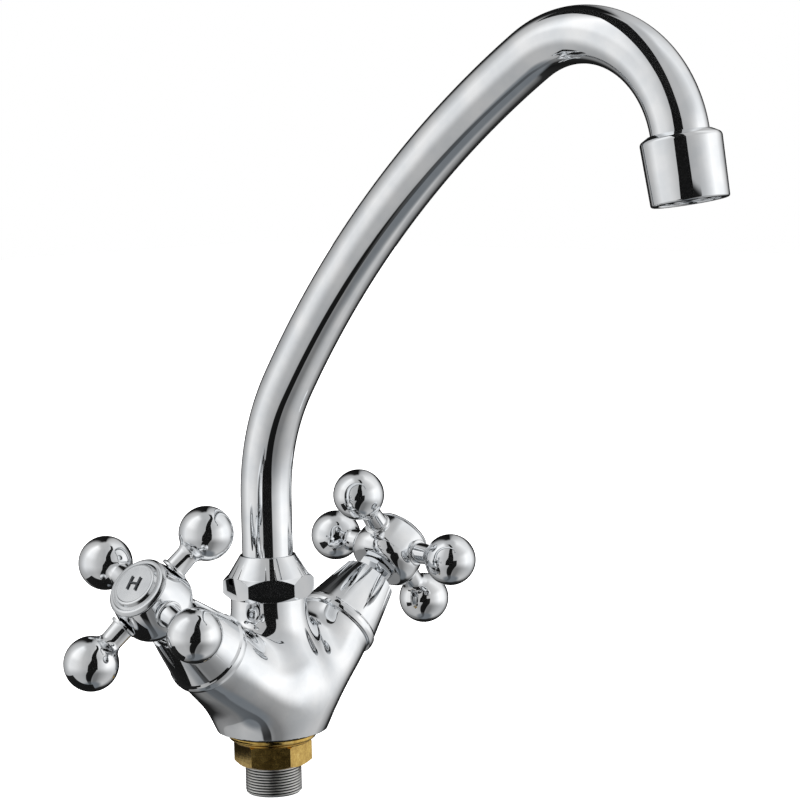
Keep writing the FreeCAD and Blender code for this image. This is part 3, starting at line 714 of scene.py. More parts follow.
stem_corners = [
    (7.5, 23.0, 0), (8.4, 23.0, 0.2), (8.4, 31.0, 0.1), (9.45, 31.1, 0.1), (9.45, 42.2, 0.1),
    (10.9, 42.2, 0.1), (10.9, 44.7, 0.2), (8.0, 44.7, 0.1), (8.0, STEM_TOP, 0.3), (SPINDLE_HOLE_R, STEM_TOP, 0),
    (SPINDLE_HOLE_R, 29.52, 0), (7.5, 29.52, 0)]
hex_corners = [
    (SPINDLE_HOLE_R, STEM_TOP - 0.2, 0), (7.1, STEM_TOP - 0.2, 0), (7.1, GLAND_TOP - 0.55, 0),
    (6.1, GLAND_TOP, 0.15), (SPINDLE_HOLE_R + 0.3, GLAND_TOP, 0.15), (SPINDLE_HOLE_R, GLAND_TOP - 0.4, 0)]
for side, word in SIDES:
    gland = spin_piece(word + "_gland_end", rounded(hex_corners), turns=96)
    mill_flats(gland, GLAND_AF, GLAND_TURN)
    crisp(gland, 0.15)
    stem = spin_piece(word + "_stem", rounded(stem_corners), turns=96)
    smooth(stem)
    add_to(gland, stem)
    place(gland, branch_frame(side))
    hand_over(gland, "tap_body", word + "_headwork_body", "bare_brass")

# %% [markdown]
# ## Handles
#
# Each handle is a hub like a small bell, four arms screwed into it, a ball at the end of each arm and a
# stepped disc that caps the hub. The hub is turned, with four flat-bottomed pockets for the collars of the
# arms and a smaller hole behind each for its spigot.

# %% Hub
HUB_BACK = CROSS - 10.0
HUB_WIDE = CROSS - 4.8
HUB_TOP = CROSS + 6.3
HUB_FLOOR = CROSS + 1.4
HUB_BACK_R = 9.8
HUB_WIDE_R = 13.2
HUB_TOP_R = 11.1
HUB_RECESS_R = 8.2
ARM_SEAT = 12.2
ARM_COLLAR_R = 4.8
ARM_COLLAR_T = 1.2
SPIGOT_R = 2.5
SPIGOT_L = 2.8
ALONG_ARM = Matrix.Translation(metres(0, 0, CROSS)) @ Matrix.Rotation(math.pi / 2, 4, "Y")


def hub_outline():
    """Swelling back, straight-sided front, recess for the cap and hole for the spindle."""
    back = arc_points((HUB_BACK_R, HUB_BACK), (HUB_WIDE_R, HUB_WIDE), 0.9)
    front = arc_points((HUB_WIDE_R, HUB_WIDE), (HUB_TOP_R - 0.15, HUB_TOP), 0.35)
    inside = [(HUB_RECESS_R, HUB_TOP), (HUB_RECESS_R, HUB_FLOOR), (2.0, HUB_FLOOR), (2.0, HUB_FLOOR - 1.0),
              (SPINDLE_HOLE_R, HUB_FLOOR - 1.0), (SPINDLE_HOLE_R, HUB_BACK + 2.2), (6.2, HUB_BACK + 2.2),
              (6.2, HUB_BACK)]
    return [Vector((9.4, HUB_BACK))] + back + front[1:] + [Vector(p) for p in inside]


hub = spin_piece("hub_form", hub_outline(), turns=160)
for index in range(4):
    way = Matrix.Rotation(index * math.pi / 2, 4, "Z") @ ALONG_ARM
    bore(hub, ARM_COLLAR_R + 0.05, ARM_SEAT, HUB_WIDE_R + 7, way, steps=64)
    bore(hub, SPIGOT_R + 0.05, ARM_SEAT - SPIGOT_L, HUB_WIDE_R, way, steps=64)
apply_modifier(hub, "BEVEL", width=0.15 * MM, segments=2, limit_method="ANGLE", angle_limit=math.radians(40))
print("hub:", triangles(hub), "triangles")

# %% [markdown]
# An arm is one turned bar: a spigot that goes into the hub, a collar with a round edge, the arm itself and a
# ball. Arm and ball could be two forms pushed together, but the light on chrome shows every such seam. One
# outline with a small fillet lets the neck flow into the ball.

# %% Arms with their balls
BALL_R = 9.3
BALL_AT = 28.8
ARM_R = 3.9
ARM_NECK_R = 3.7
BALL_STEPS = 40
NECK_FILLET = 3.0


def arm_outline():
    """Spigot, collar, arm, fillet and ball; the first number is the radius, the second the way out."""
    collar = ARM_SEAT + ARM_COLLAR_T
    half = ARM_COLLAR_T / 2
    tip = ARM_SEAT - SPIGOT_L
    shaft = [(0.0, tip), (SPIGOT_R - 0.2, tip), (SPIGOT_R, tip + 0.2), (SPIGOT_R, ARM_SEAT),
             (ARM_COLLAR_R - 0.15, ARM_SEAT), (ARM_COLLAR_R, ARM_SEAT + 0.15)]
    bead = [(ARM_COLLAR_R - half + half * math.cos(a), ARM_SEAT + half + half * math.sin(a))
            for a in [math.pi / 12 * k for k in range(7)]]
    shaft += bead + [(ARM_R + 0.05, collar - 0.05), (ARM_R, collar + 0.2)]
    aside = ARM_NECK_R + NECK_FILLET
    reach = math.sqrt((BALL_R + NECK_FILLET) ** 2 - aside ** 2)
    fillet_at = BALL_AT - reach
    lean = math.atan2(reach, aside)
    for step in range(9):
        a = math.pi - lean * step / 8
        shaft.append((aside + NECK_FILLET * math.cos(a), fillet_at + NECK_FILLET * math.sin(a)))
    start = math.atan2(aside, reach)
    for step in range(1, BALL_STEPS + 1):
        a = start + (math.pi - start) * step / BALL_STEPS
        shaft.append((max(0.0, BALL_R * math.sin(a)), BALL_AT - BALL_R * math.cos(a)))
    return [Vector(p) for p in shaft]


arm = spin_piece("arm_form", arm_outline(), closed=False, turns=96)
place(arm, ALONG_ARM)
print("arm:", triangles(arm), "triangles")

# %% [markdown]
# The cap closes the hub: a skirt that is pressed in, a flat ring, a groove, a raised edge and a slightly domed
# disc for the letter. All of it is turned, so it is one more outline. Its heights count from the hub's edge.

# %% Index cap
CAP_SKIRT_R = HUB_RECESS_R - 0.05
CAP_RING_R = 10.2
DISC_R = 7.0
cap_corners = [
    (DISC_R, -2.0, 0.1), (CAP_SKIRT_R, -2.0, 0.2), (CAP_SKIRT_R, 0.02, 0), (HUB_TOP_R - 0.1, 0.02, 0.2),
    (HUB_TOP_R, 0.55, 0.3), (CAP_RING_R, 1.5, 0.35), (9.55, 1.62, 0.2), (9.0, 1.35, 0.2), (8.3, 1.75, 0.3),
    (7.7, 2.85, 0.45), (DISC_R, 2.95, 0.3), (DISC_R - 0.25, 2.8, 0.15), (0.0, 3.05, 0), (0.0, 1.2, 0),
    (DISC_R, 1.0, 0.2)]

cap = spin_piece("cap_form", rounded([(r, HUB_TOP + z, rounding) for r, z, rounding in cap_corners]))
print("cap:", triangles(cap), "triangles")

# %% [markdown]
# Both handles are made of the same parts, each screwed home at its own angle, as in the photograph. So the
# finished forms are copied and set in each handle's own frame, the arm four times.

# %% Assemble both handles
for side, word in SIDES:
    there = handle_frame(side)
    hub_twin = copy_of(hub, word + "_hub")
    place(hub_twin, there)
    smooth(hub_twin, 35)
    apply_modifier(hub_twin, "WEIGHTED_NORMAL", keep_sharp=True, weight=50)
    hand_over(hub_twin, word + "_handle", word + "_handle_hub", "chrome_plate")
    cap_twin = copy_of(cap, word + "_cap")
    place(cap_twin, there)
    smooth(cap_twin, 40)
    hand_over(cap_twin, word + "_handle", word + "_index_cap", "chrome_cap")
    for index in range(4):
        arm_twin = copy_of(arm, word + "_arm_" + str(index + 1))
        place(arm_twin, there @ Matrix.Rotation(index * math.pi / 2, 4, "Z"))
        smooth(arm_twin, 40)
        hand_over(arm_twin, word + "_handle", word + "_handle_arms", "chrome_plate")
for form in (hub, arm, cap):
    bpy.data.objects.remove(form)

# %% [markdown]
# The left cap of this tap carries a plain H for hot and the right one a C for cold, filled with dark enamel.
# Blender's own lettering is turned into a mesh, given a little thickness, and set so that it stands a hair
# above the slightly domed disc.

# %% Letters on the caps
LETTER_H = 5.2
TYPE_SIZE = 1.4         # size of the type for a capital of height 1
LETTER_T = 0.1
LETTER_UP = 3.32        # above the hub's edge, just over the dome

for side, word in SIDES:
    nothing_selected()
    bpy.ops.object.text_add()
    letter = bpy.context.object
    letter.name = word + "_letter"
    letter.data.body = "H" if side < 0 else "C"
    letter.data.align_x = "CENTER"
    letter.data.align_y = "CENTER"
    letter.data.size = LETTER_H * TYPE_SIZE * MM
    letter.data.extrude = LETTER_T * MM
    letter.data.resolution_u = 24
    bpy.ops.object.convert(target="MESH")
    lift = Matrix.Translation(metres(0, 0, HUB_TOP + LETTER_UP))
    place(letter, branch_frame(side) @ Matrix.Rotation(-math.pi / 2, 4, "Z") @ lift)
    hand_over(letter, word + "_handle", None, "black_rubber")

# %% [markdown]
# ## Under the deck
#
# Below the body come a rubber ring, a brass nut with a round flange, and the threaded shank. The flange and
# the hexagon are turned and milled like the spout nut.

# %% Rubber ring and fixing nut
GASKET_T = 1.5
GASKET_R = 15.6
FLANGE_R = 15.5
BEAD_R = 13.75          # small bead under the flange
FLANGE_T = 3.0
FIXING_AF = 24.0
FIXING_T = 8.0
FIXING_TURN = math.radians(221)
hole = SHANK_R + THREAD_GAP
under = -GASKET_T - FLANGE_T
foot = under - FIXING_T

ring_corners = [(hole, -GASKET_T, 0.1), (GASKET_R, -GASKET_T, 0.4), (GASKET_R, 0, 0.4), (hole, 0, 0.1)]
rubber_ring = spin_piece("rubber_ring", rounded(ring_corners))
smooth(rubber_ring)
hand_over(rubber_ring, "tap_body", "base_gasket", "black_rubber")

flange_corners = [
    (hole, under, 0), (BEAD_R - 0.45, under, 0.3), (BEAD_R, under + 0.45, 0.4), (BEAD_R, under + 0.7, 0.4),
    (BEAD_R - 0.45, under + 1.1, 0.12), (FLANGE_R - 0.6, under + 1.15, 0.4), (FLANGE_R, under + 1.65, 0.6),
    (FLANGE_R, -GASKET_T, 0.6), (hole, -GASKET_T, 0)]
corner = FIXING_AF / math.sqrt(3) + 0.25
grip_corners = [
    (hole, foot + 0.5, 0), (SHANK_R + 0.6, foot, 0), (corner - 2.2, foot, 0.1), (corner, foot + 1.1, 0.2),
    (corner, under - 0.55, 0.2), (corner - 1.1, under + 0.05, 0), (hole, under + 0.05, 0)]
flange = spin_piece("brass_flange", rounded(flange_corners), turns=192)
smooth(flange)
fixing_nut = spin_piece("brass_fixing_nut", rounded(grip_corners), turns=192)
mill_flats(fixing_nut, FIXING_AF, FIXING_TURN)
crisp(fixing_nut, 0.3)
add_to(fixing_nut, flange)
hand_over(fixing_nut, "tap_body", "fixing_nut", "bare_brass")

# %% [markdown]
# A real thread is one V wound round the shank, and the Screw modifier winds it: each turn climbs one pitch.
# The screw begins and ends in a slanting step, so it is wound too long and cut at both ends. A turned blank
# with a chamfered end then gives the shank its inside and its tip. Shading stays flat: the flanks of a thread
# meet in sharp edges, and a smoothed normal would wash them out.

# %% Threaded shank
PITCH = 1.0
THREAD_DEEP = 0.65      # a hair more than the 0.61 of a real M20 x 1
THREAD_WELD = 0.01
SHANK_END = 23.0
SHANK_BORE_R = 8.25
SHANK_TOP = SHANK_DEPTH - 0.05

root = SHANK_R - THREAD_DEEP
thread_points = [Vector((SHANK_R, -PITCH * 0.06)), Vector((SHANK_R, PITCH * 0.06)),
                 Vector((root, PITCH * 0.44)), Vector((root, PITCH * 0.56)), Vector((SHANK_R, PITCH * 0.94))]
shank = draw_outline("threaded_shank_skin", thread_points, closed=False)
bpy.ops.object.mode_set(mode="OBJECT")
winds = int((SHANK_END + SHANK_DEPTH) / PITCH) + 4
apply_modifier(shank, "SCREW", angle=2 * math.pi, screw_offset=PITCH * MM, iterations=winds, steps=96,
               render_steps=96, use_merge_vertices=True, merge_threshold=0.005 * MM, use_smooth_shade=False)
place(shank, Matrix.Translation(metres(0, 0, -SHANK_END - 2)))
edit(shank)
weld(THREAD_WELD)
cut_flat(shank, metres(0, 0, -SHANK_END), (0, 0, -1), near=0.001)
cut_flat(shank, metres(0, 0, SHANK_TOP), (0, 0, 1), near=0.001)
blank_corners = [(SHANK_BORE_R, -SHANK_END), (SHANK_R - 0.75, -SHANK_END), (SHANK_R + 0.2, -SHANK_END + 0.95),
                 (SHANK_R + 0.2, SHANK_TOP - 0.01), (SHANK_BORE_R, SHANK_TOP - 0.01)]
carve(shank, spin_piece("shank_blank", [Vector(c) for c in blank_corners]), "INTERSECT")
only(shank)
bpy.ops.object.shade_flat()
hand_over(shank, "tap_body", "threaded_shank", "nickel_thread")
print("thread wound", winds, "times")

# %% [markdown]
# ## Finishes
#
# One function turns a web colour into the linear values that Blender works in, and one adds a node with its
# settings and links. Each finish below starts from what the maker does to the metal: cast, turned, plated,
# polished. The patterns are laid out in the millimetres of the piece, so they turn with it.

# %% Colour and node helpers
def srgb(text):
    """Linear colour of a web colour such as c9a24b."""
    values = [int(text[i:i + 2], 16) / 255 for i in (0, 2, 4)]
    return tuple(v / 12.92 if v <= 0.04045 else ((v + 0.055) / 1.055) ** 2.4 for v in values) + (1.0,)


def add(tree, kind, inputs=None, out=0, stops=(), **settings):
    """Add a node and give back one output. An input takes a value or a socket, stops are those of a ramp."""
    node = tree.nodes.new("ShaderNode" + kind)
    for key, value in settings.items():
        setattr(node, key, value)
    for key, value in (inputs or {}).items():
        if isinstance(value, bpy.types.NodeSocket):
            tree.links.new(value, node.inputs[key])
        else:
            node.inputs[key].default_value = value
    if stops:
        elements = node.color_ramp.elements
        while len(elements) < len(stops):
            elements.new(0.5)
        for element, (at, colour) in zip(elements, stops):
            element.position = at
            element.color = colour
    return node.outputs[out] if node.outputs else None


def start_finish(name):
    """An empty material and its Object coordinates in millimetres."""
    finish = bpy.data.materials.new(name)
    finish.use_nodes = True
    tree = finish.node_tree
    tree.nodes.clear()
    place_in = add(tree, "TexCoord", out="Object")
    return finish, tree, add(tree, "Mapping", {"Vector": place_in, "Scale": (1000, 1000, 1000)})


def paint(tree, looks):
    """Close a material with its shader, whose inputs are named in looks."""
    add(tree, "OutputMaterial", {"Surface": add(tree, "BsdfPrincipled", looks)})


print("c9a24b is", [round(v, 3) for v in srgb("c9a24b")])

# %% [markdown]
# The tap is plated with nickel and then a breath of chrome, and buffed. A perfect mirror would look like a
# computer's idea of it: real plating has a faint cloudiness, wiping haze and the long low waves of the buffing
# wheel, which make the edge of a reflection tremble a little. Three noises of different size give these. The
# caps are brushed before plating, so the same function makes them with more roughness.

# %% Chrome plate
def chrome_plate(name, colour, smooth_end, rough_end, wave):
    """Bright chrome over nickel: mirror-like, with the faint cloudiness and buffing waves of real plating."""
    finish, tree, mm = start_finish(name)
    cloud = add(tree, "TexNoise", {"Vector": mm, "Scale": 0.09, "Detail": 3.0, "Roughness": 0.55})
    wipe = add(tree, "TexNoise", {"Vector": mm, "Scale": 0.9, "Detail": 5.0, "Roughness": 0.65})
    haze = add(tree, "Math", {0: cloud, 1: wipe}, operation="MULTIPLY")
    tint = add(tree, "ValToRGB", {"Fac": cloud}, stops=[(0.35, srgb(colour[0])), (0.65, srgb(colour[1]))])
    rough = add(tree, "MapRange", {"Value": haze, "From Min": 0.12, "From Max": 0.42,
                                   "To Min": smooth_end, "To Max": rough_end})
    buffing = add(tree, "TexNoise", {"Vector": mm, "Scale": 0.16, "Detail": 2.0, "Roughness": 0.4})
    waves = add(tree, "Bump", {"Height": buffing, "Strength": 1.0, "Distance": wave * MM})
    paint(tree, {"Base Color": tint, "Metallic": 1.0, "Roughness": rough, "Normal": waves})
    return finish


polished = chrome_plate("polished_chrome_plate", ("e4e7ea", "f2f3f4"), 0.01, 0.045, 0.010)
satin = chrome_plate("satin_chrome_cap", ("c9cccf", "dcdee0"), 0.10, 0.2, 0.004)
print("chrome finishes:", polished.name, satin.name)

# %% [markdown]
# The thread is cut first and plated thinly afterwards. Its colour carries painted shade: dark in the grooves and
# bright on the crests, as light and shade fall on a thread. Painting each groove is out of the question, but the
# distance from the shank's axis tells crests from grooves, and a noise wobbles the border between them.

# %% Nickel-plated thread
thread_plate, tree, mm = start_finish("nickel_plated_thread")
flat = add(tree, "VectorMath", {0: mm, 1: (1, 1, 0)}, operation="MULTIPLY")
off_axis = add(tree, "VectorMath", {0: flat}, out="Value", operation="LENGTH")
crest = add(tree, "MapRange", {"Value": off_axis, "From Min": SHANK_R - THREAD_DEEP, "From Max": SHANK_R})
# noise for the roughness and for a wobble in the border of the painted groove shade
rough_and_shade_noise = add(tree, "TexNoise", {"Vector": mm, "Scale": 0.5, "Detail": 4.0, "Roughness": 0.6})
shade_edge_wobble = add(tree, "MapRange", {"Value": rough_and_shade_noise, "To Min": -0.12, "To Max": 0.12})
painted_groove_shade = add(tree, "Math", {0: crest, 1: shade_edge_wobble}, operation="ADD")
# painted shade: dark grey deep in the grooves, near white on the crests
plate = add(tree, "ValToRGB", {"Fac": painted_groove_shade}, stops=[
    (0.08, srgb("3c3c3e")), (0.3, srgb("a8a8a8")), (0.6, srgb("ececea")), (1.0, srgb("fcfcfa"))])
rough = add(tree, "MapRange", {"Value": rough_and_shade_noise, "To Min": 0.28, "To Max": 0.34})
paint(tree, {"Base Color": plate, "Metallic": 1.0, "Roughness": rough})
print("thread finish from groove to crest over", THREAD_DEEP, "mm")

# %% [markdown]
# The fixing nut is brass as it came off the lathe, never plated. The tool leaves fine rings, and the bare metal
# stains in warm patches with darker spots in them. The rings are a noise squeezed hard along the axis, and the
# stains are two noises multiplied, so that the dark spots lie inside the patches.

# %% Turned brass
brass, tree, mm = start_finish("turned_bare_brass")
patches = add(tree, "TexNoise", {"Vector": mm, "Scale": 0.16, "Detail": 6.0, "Roughness": 0.6})
stain = add(tree, "TexNoise", {"Vector": mm, "Scale": 0.7, "Detail": 8.0, "Roughness": 0.7})
both = add(tree, "Math", {0: patches, 1: stain}, operation="MULTIPLY")
tarnish = add(tree, "ValToRGB", {"Fac": both}, stops=[
    (0.06, srgb("745a30")), (0.16, srgb("b4924c")), (0.3, srgb("d6b464")), (0.5, srgb("eed28e"))])
rough = add(tree, "MapRange", {"Value": stain, "To Min": 0.05, "To Max": 0.2})
squeezed = add(tree, "Mapping", {"Vector": mm, "Scale": (0.02, 0.02, 6.0)})
lines = add(tree, "TexNoise", {"Vector": squeezed, "Scale": 1.0, "Detail": 3.0})
rings = add(tree, "Bump", {"Height": lines, "Strength": 0.6, "Distance": 0.02 * MM})
paint(tree, {"Base Color": tarnish, "Metallic": 1.0, "Roughness": rough, "Normal": rings})
print("brass finish:", brass.name)

# %% [markdown]
# The other materials are dull: rubber and plastics that took the fine grain of their mould, lapped ceramic,
# spring steel and the enamel of the letters. They differ in colour, grain and gloss only, so one function
# makes them all: two close shades in a mottle, a gloss that goes with it, and a grain eight times finer.

# %% Rubber, plastics, ceramic and steel
def dull(name, dark, light, scale, rough_low, rough_high, grain, metal=0.0):
    """Moulded or pressed material: two close shades, uneven gloss and a fine grain."""
    finish, tree, mm = start_finish(name)
    mottle = add(tree, "TexNoise", {"Vector": mm, "Scale": scale, "Detail": 6.0, "Roughness": 0.6})
    shade = add(tree, "ValToRGB", {"Fac": mottle}, stops=[(0.35, srgb(dark)), (0.65, srgb(light))])
    rough = add(tree, "MapRange", {"Value": mottle, "To Min": rough_low, "To Max": rough_high})
    pits = add(tree, "TexNoise", {"Vector": mm, "Scale": scale * 8, "Detail": 4.0})
    skin = add(tree, "Bump", {"Height": pits, "Strength": 0.5, "Distance": grain * MM})
    paint(tree, {"Base Color": shade, "Metallic": metal, "Roughness": rough, "Normal": skin})
    return finish


rubber = dull("moulded_black_rubber", "0b0b0c", "161618", 0.8, 0.45, 0.7, 0.05)
dark_plastic = dull("moulded_dark_plastic", "2b2b2e", "3c3c40", 0.6, 0.35, 0.55, 0.02)
white_plastic = dull("moulded_white_plastic", "dcdcd6", "ecebe6", 0.5, 0.35, 0.5, 0.02)
ceramic = dull("lapped_ceramic", "e3dfd4", "f3f0e8", 0.4, 0.12, 0.22, 0.004)
steel = dull("drawn_spring_steel", "85868a", "a2a3a6", 1.2, 0.2, 0.4, 0.01, metal=1.0)
enamel = dull("dark_letter_enamel", "1d2024", "2b2f34", 1.5, 0.2, 0.35, 0.006)

by_slot = {"chrome_plate": polished, "chrome_cap": satin, "nickel_thread": thread_plate, "bare_brass": brass,
           "black_rubber": rubber, "dark_plastic": dark_plastic, "white_plastic": white_plastic,
           "ceramic_disc": ceramic, "spring_steel": steel}
print("finishes:", len(by_slot) + 1)

# %% [markdown]
# Every piece takes the finish of its slot, and so does every CAD node, also those that are hidden inside.
# Two kinds differ from their slot: the gland ends are plated where they show, though the headwork is brass,
# and the letters are enamel.

# %% Dress every piece and node
def dress(piece, finish):
    """Give a piece one finish all over."""
    piece.data.materials.clear()
    piece.data.materials.append(finish)


slots = {part["node"]: part["material_slot"] for part in frame["record"]["subparts"]}
for name, node in frame["nodes"].items():
    dress(node, by_slot[slots[name]])
for name, slot in made.items():
    dress(bpy.data.objects[name], by_slot[slot])
for _, word in SIDES:
    dress(bpy.data.objects[word + "_gland_end"], polished)
    dress(bpy.data.objects[word + "_letter"], enamel)
print("dressed", len(frame["nodes"]), "nodes and", len(made), "pieces")

# %% [markdown]
# ## Studio
#
# Chrome is a map of its studio. The photographer stood in a dark gap between a broad light on the right and a
# white wall on the left, and that gap is the black streak which runs down every round piece. So the room has
# to be built round the camera, and the first step is the camera's own place. It was found by fitting the tap
# to the photograph: where it stands, how it is turned, how far it looks down and how it leans.

# %% Camera directions
CAMERA_AT = (-615.0119, -611.5697, 212.1413)
CAMERA_YAW = -0.8434390     # radians, as the next two
CAMERA_DOWN = 0.1103411
CAMERA_ROLL = -0.0214670
LENS_PIXELS = 2484.44       # focal length in pixels of the photograph
IMAGE_PIXELS = 800
SENSOR = 36.0

look = Vector((-math.sin(CAMERA_YAW) * math.cos(CAMERA_DOWN), math.cos(CAMERA_YAW) * math.cos(CAMERA_DOWN),
               -math.sin(CAMERA_DOWN)))
level = Vector((math.cos(CAMERA_YAW), math.sin(CAMERA_YAW), 0))
steep = level.cross(look)
right = level * math.cos(CAMERA_ROLL) + steep * math.sin(CAMERA_ROLL)
above = -level * math.sin(CAMERA_ROLL) + steep * math.cos(CAMERA_ROLL)
toward = Vector((-look.x, -look.y, 0)).normalized()

print("the camera looks along", [round(v, 3) for v in look])

# %% [markdown]
# The world shader paints the room by direction. Three colour ramps run once round the tap, one for the floor of
# the room, one for its walls and one for its ceiling, and the height of the direction passes from one to the
# next. Below eye level the gap is a dark seam that runs straight from the photographer to below the tap, and on
# behind it. Its two edges are curves over the height. A picture of a real studio could be used in place of all
# this, but then no edge could be moved to where the photograph shows it. The camera itself sees plain white.

# %% Room painted by direction
# Stops are (degrees round the tap from the photographer, + to the right; grey as a web colour).
WALLS = ((-180, "14"), (-154, "20"), (-146, "90"), (-128, "a8"), (-116, "b8"), (-92, "e2"), (-60, "d6"),
         (-30, "b4"), (0, "a0"), (28, "b0"), (42, "c0"), (58, "dc"), (76, "ff"), (108, "f4"), (130, "c4"),
         (142, "80"), (150, "20"), (180, "14"))
CEILING = ((-180, "10"), (-156, "1c"), (-149, "60"), (-138, "a4"), (-112, "c4"), (-88, "fa"), (-60, "e6"),
           (-30, "b4"), (0, "a8"), (14, "b0"), (40, "b4"), (66, "c8"), (96, "e8"), (128, "dc"), (152, "c0"),
           (170, "a8"), (178, "60"), (180, "10"))
GROUND = ((-180, "16"), (-160, "24"), (-148, "84"), (-124, "9c"), (-88, "ac"), (-40, "a8"), (-14, "94"),
          (16, "70"), (34, "74"), (52, "90"), (70, "a4"), (92, "b4"), (118, "b8"), (138, "8c"), (154, "28"),
          (180, "16"))
# Heights go from -1, straight down, to 1, straight up. These are where one ring passes into the next.
GROUND_TO_WALLS = (-0.56, -0.10)
WALLS_TO_CEILING = (0.22, 0.50)
TO_ZENITH = (0.90, 0.99)
TO_NADIR = (-0.89, -0.97)
ZENITH_GREY = "b0b0b0"
NADIR_GREY = "6c7074"
# Stops of the seam's edges are (height, how far the edge lies to the right of the seam's own direction).
SEAM_TURN = math.radians(14)
SEAM_LEFT = ((-1.0, -0.12), (-0.93, -0.26), (-0.8, -0.40), (-0.6, -0.46), (-0.46, -0.44), (-0.3, -0.36),
             (0.1, -0.28))
SEAM_RIGHT = ((-1.0, -0.02), (-0.93, -0.10), (-0.8, -0.10), (-0.6, -0.02), (-0.46, 0.06), (-0.3, 0.24),
              (0.1, 0.26))
SEAM_TOP = (0.10, 0.04)
SEAM_DEEP = (-0.97, -0.88)
SEAM_SOFT = 0.01
SEAM_GREY = "080808"
ROOM_STRENGTH = 1.2

world = bpy.data.worlds.new("studio_room")
bpy.context.scene.world = world
world.use_nodes = True
room = world.node_tree
room.nodes.clear()
direction = add(room, "TexCoord", out="Generated")


def along(vector):
    """How far the direction points along a fixed one, from -1 to 1."""
    return add(room, "VectorMath", {0: direction, 1: tuple(vector)}, out="Value", operation="DOT_PRODUCT")


angle = add(room, "Math", {0: along(level), 1: along(toward)}, operation="ARCTAN2")
turn = add(room, "Math", {0: angle, 1: 1 / (2 * math.pi), 2: 0.5}, operation="MULTIPLY_ADD")
height = along((0, 0, 1))
half_height = add(room, "Math", {0: height, 1: 0.5, 2: 0.5}, operation="MULTIPLY_ADD")


def round_the_tap(stops):
    """A ring of greys once round the tap."""
    return add(room, "ValToRGB", {"Fac": turn}, stops=[(at / 360 + 0.5, srgb(grey * 3)) for at, grey in stops])


def change(first, second, limits):
    """Pass softly from one colour to another between two heights."""
    share = add(room, "MapRange", {"Value": height, "From Min": limits[0], "From Max": limits[1]},
                interpolation_type="SMOOTHSTEP")
    return add(room, "MixRGB", {"Fac": share, "Color1": first, "Color2": second})


def edge_by_height(stops):
    """Where an edge of the seam lies, as a soft curve over the height."""
    greys = [((at + 1) / 2, ((value + 1) / 2,) * 3 + (1.0,)) for at, value in stops]
    edge = add(room, "ValToRGB", {"Fac": half_height}, stops=greys)
    edge.node.color_ramp.interpolation = "B_SPLINE"
    return edge


def past(value, edge):
    """0 below an edge and 1 above it, with a narrow soft side."""
    beyond = add(room, "Math", {0: value, 1: edge}, operation="SUBTRACT")
    return add(room, "MapRange", {"Value": beyond, "From Min": -SEAM_SOFT, "From Max": SEAM_SOFT},
               interpolation_type="SMOOTHSTEP")


lower = change(round_the_tap(GROUND), round_the_tap(WALLS), GROUND_TO_WALLS)
walls = change(lower, round_the_tap(CEILING), WALLS_TO_CEILING)
walls = change(walls, srgb(ZENITH_GREY), TO_ZENITH)
walls = change(walls, srgb(NADIR_GREY), TO_NADIR)
print("room with", len(WALLS) + len(CEILING) + len(GROUND), "stops of light and dark")

# %% [markdown]
# The seam is drawn by multiplying five soft conditions: right of its left edge, left of its right edge, fading
# out behind the tap, below its top, and weaker straight below, so that the undersides of the balls keep some
# light.

# %% Dark seam
sideways = along(level * math.cos(SEAM_TURN) - toward * math.sin(SEAM_TURN))
forward = along(toward * math.cos(SEAM_TURN) + level * math.sin(SEAM_TURN))
across = add(room, "Math", {0: sideways, 1: 0.5, 2: 0.5}, operation="MULTIPLY_ADD")
fade = add(room, "MapRange", {"Value": forward, "From Min": -0.6, "From Max": 0.3, "To Min": 0.25, "To Max": 0.98})
below = add(room, "MapRange", {"Value": height, "From Min": SEAM_TOP[0], "From Max": SEAM_TOP[1]},
            interpolation_type="SMOOTHSTEP")
deep = add(room, "MapRange", {"Value": height, "From Min": SEAM_DEEP[0], "From Max": SEAM_DEEP[1], "To Min": 0.6})
gap = past(across, edge_by_height(SEAM_LEFT))
for condition in (past(edge_by_height(SEAM_RIGHT), across), fade, below, deep):
    gap = add(room, "Math", {0: gap, 1: condition}, operation="MULTIPLY")
whole = add(room, "MixRGB", {"Fac": gap, "Color1": walls, "Color2": srgb(SEAM_GREY)})
room_light = add(room, "Background", {"Strength": ROOM_STRENGTH, "Color": whole})
white_wall = add(room, "Background", {"Strength": 1.0, "Color": srgb("ffffff")})
seen = add(room, "LightPath", out="Is Camera Ray")
mixed = add(room, "MixShader", {"Fac": seen, 1: room_light, 2: white_wall})
add(room, "OutputWorld", {"Surface": mixed})
print("world nodes:", len(room.nodes))

# %% [markdown]
# The photograph shows the tap before plain white, with no shadow under it. A white floor that glows by itself
# gives that. It isn't seen in reflections, because the painted room already has its ground.

# %% Floor
FLOOR_Z = -23.2
FLOOR_SIZE = 6.0        # metres

nothing_selected()
bpy.ops.mesh.primitive_plane_add(size=FLOOR_SIZE, location=metres(0, 0, FLOOR_Z))
floor = just_added("pale_floor")
floor_finish, tree, mm = start_finish("matt_white_floor")
grain = add(tree, "TexNoise", {"Vector": mm, "Scale": 0.02, "Detail": 3.0})
pale = add(tree, "ValToRGB", {"Fac": grain}, stops=[(0.3, srgb("f4f4f4")), (0.7, srgb("f8f8f8"))])
paint(tree, {"Base Color": pale, "Roughness": 0.9, "Emission Color": srgb("ffffff"), "Emission Strength": 1.0})
floor.visible_glossy = False
dress(floor, floor_finish)
print("floor", FLOOR_SIZE, "m wide at", FLOOR_Z, "mm")

# %% [markdown]
# Above eye level the gap is a real dark screen, a few hand widths away from the tap. A thing so near is seen at
# another angle from the spout's end than from the handles, as in the photograph, where the streak sits left of
# the middle on the outlet sleeve and right of it on the balls. A painted room can't do that, because it is
# infinitely far. A second, small card lies low under the left handle. It darkens the undersides of the bonnet
# and the hub there, as in the photograph.

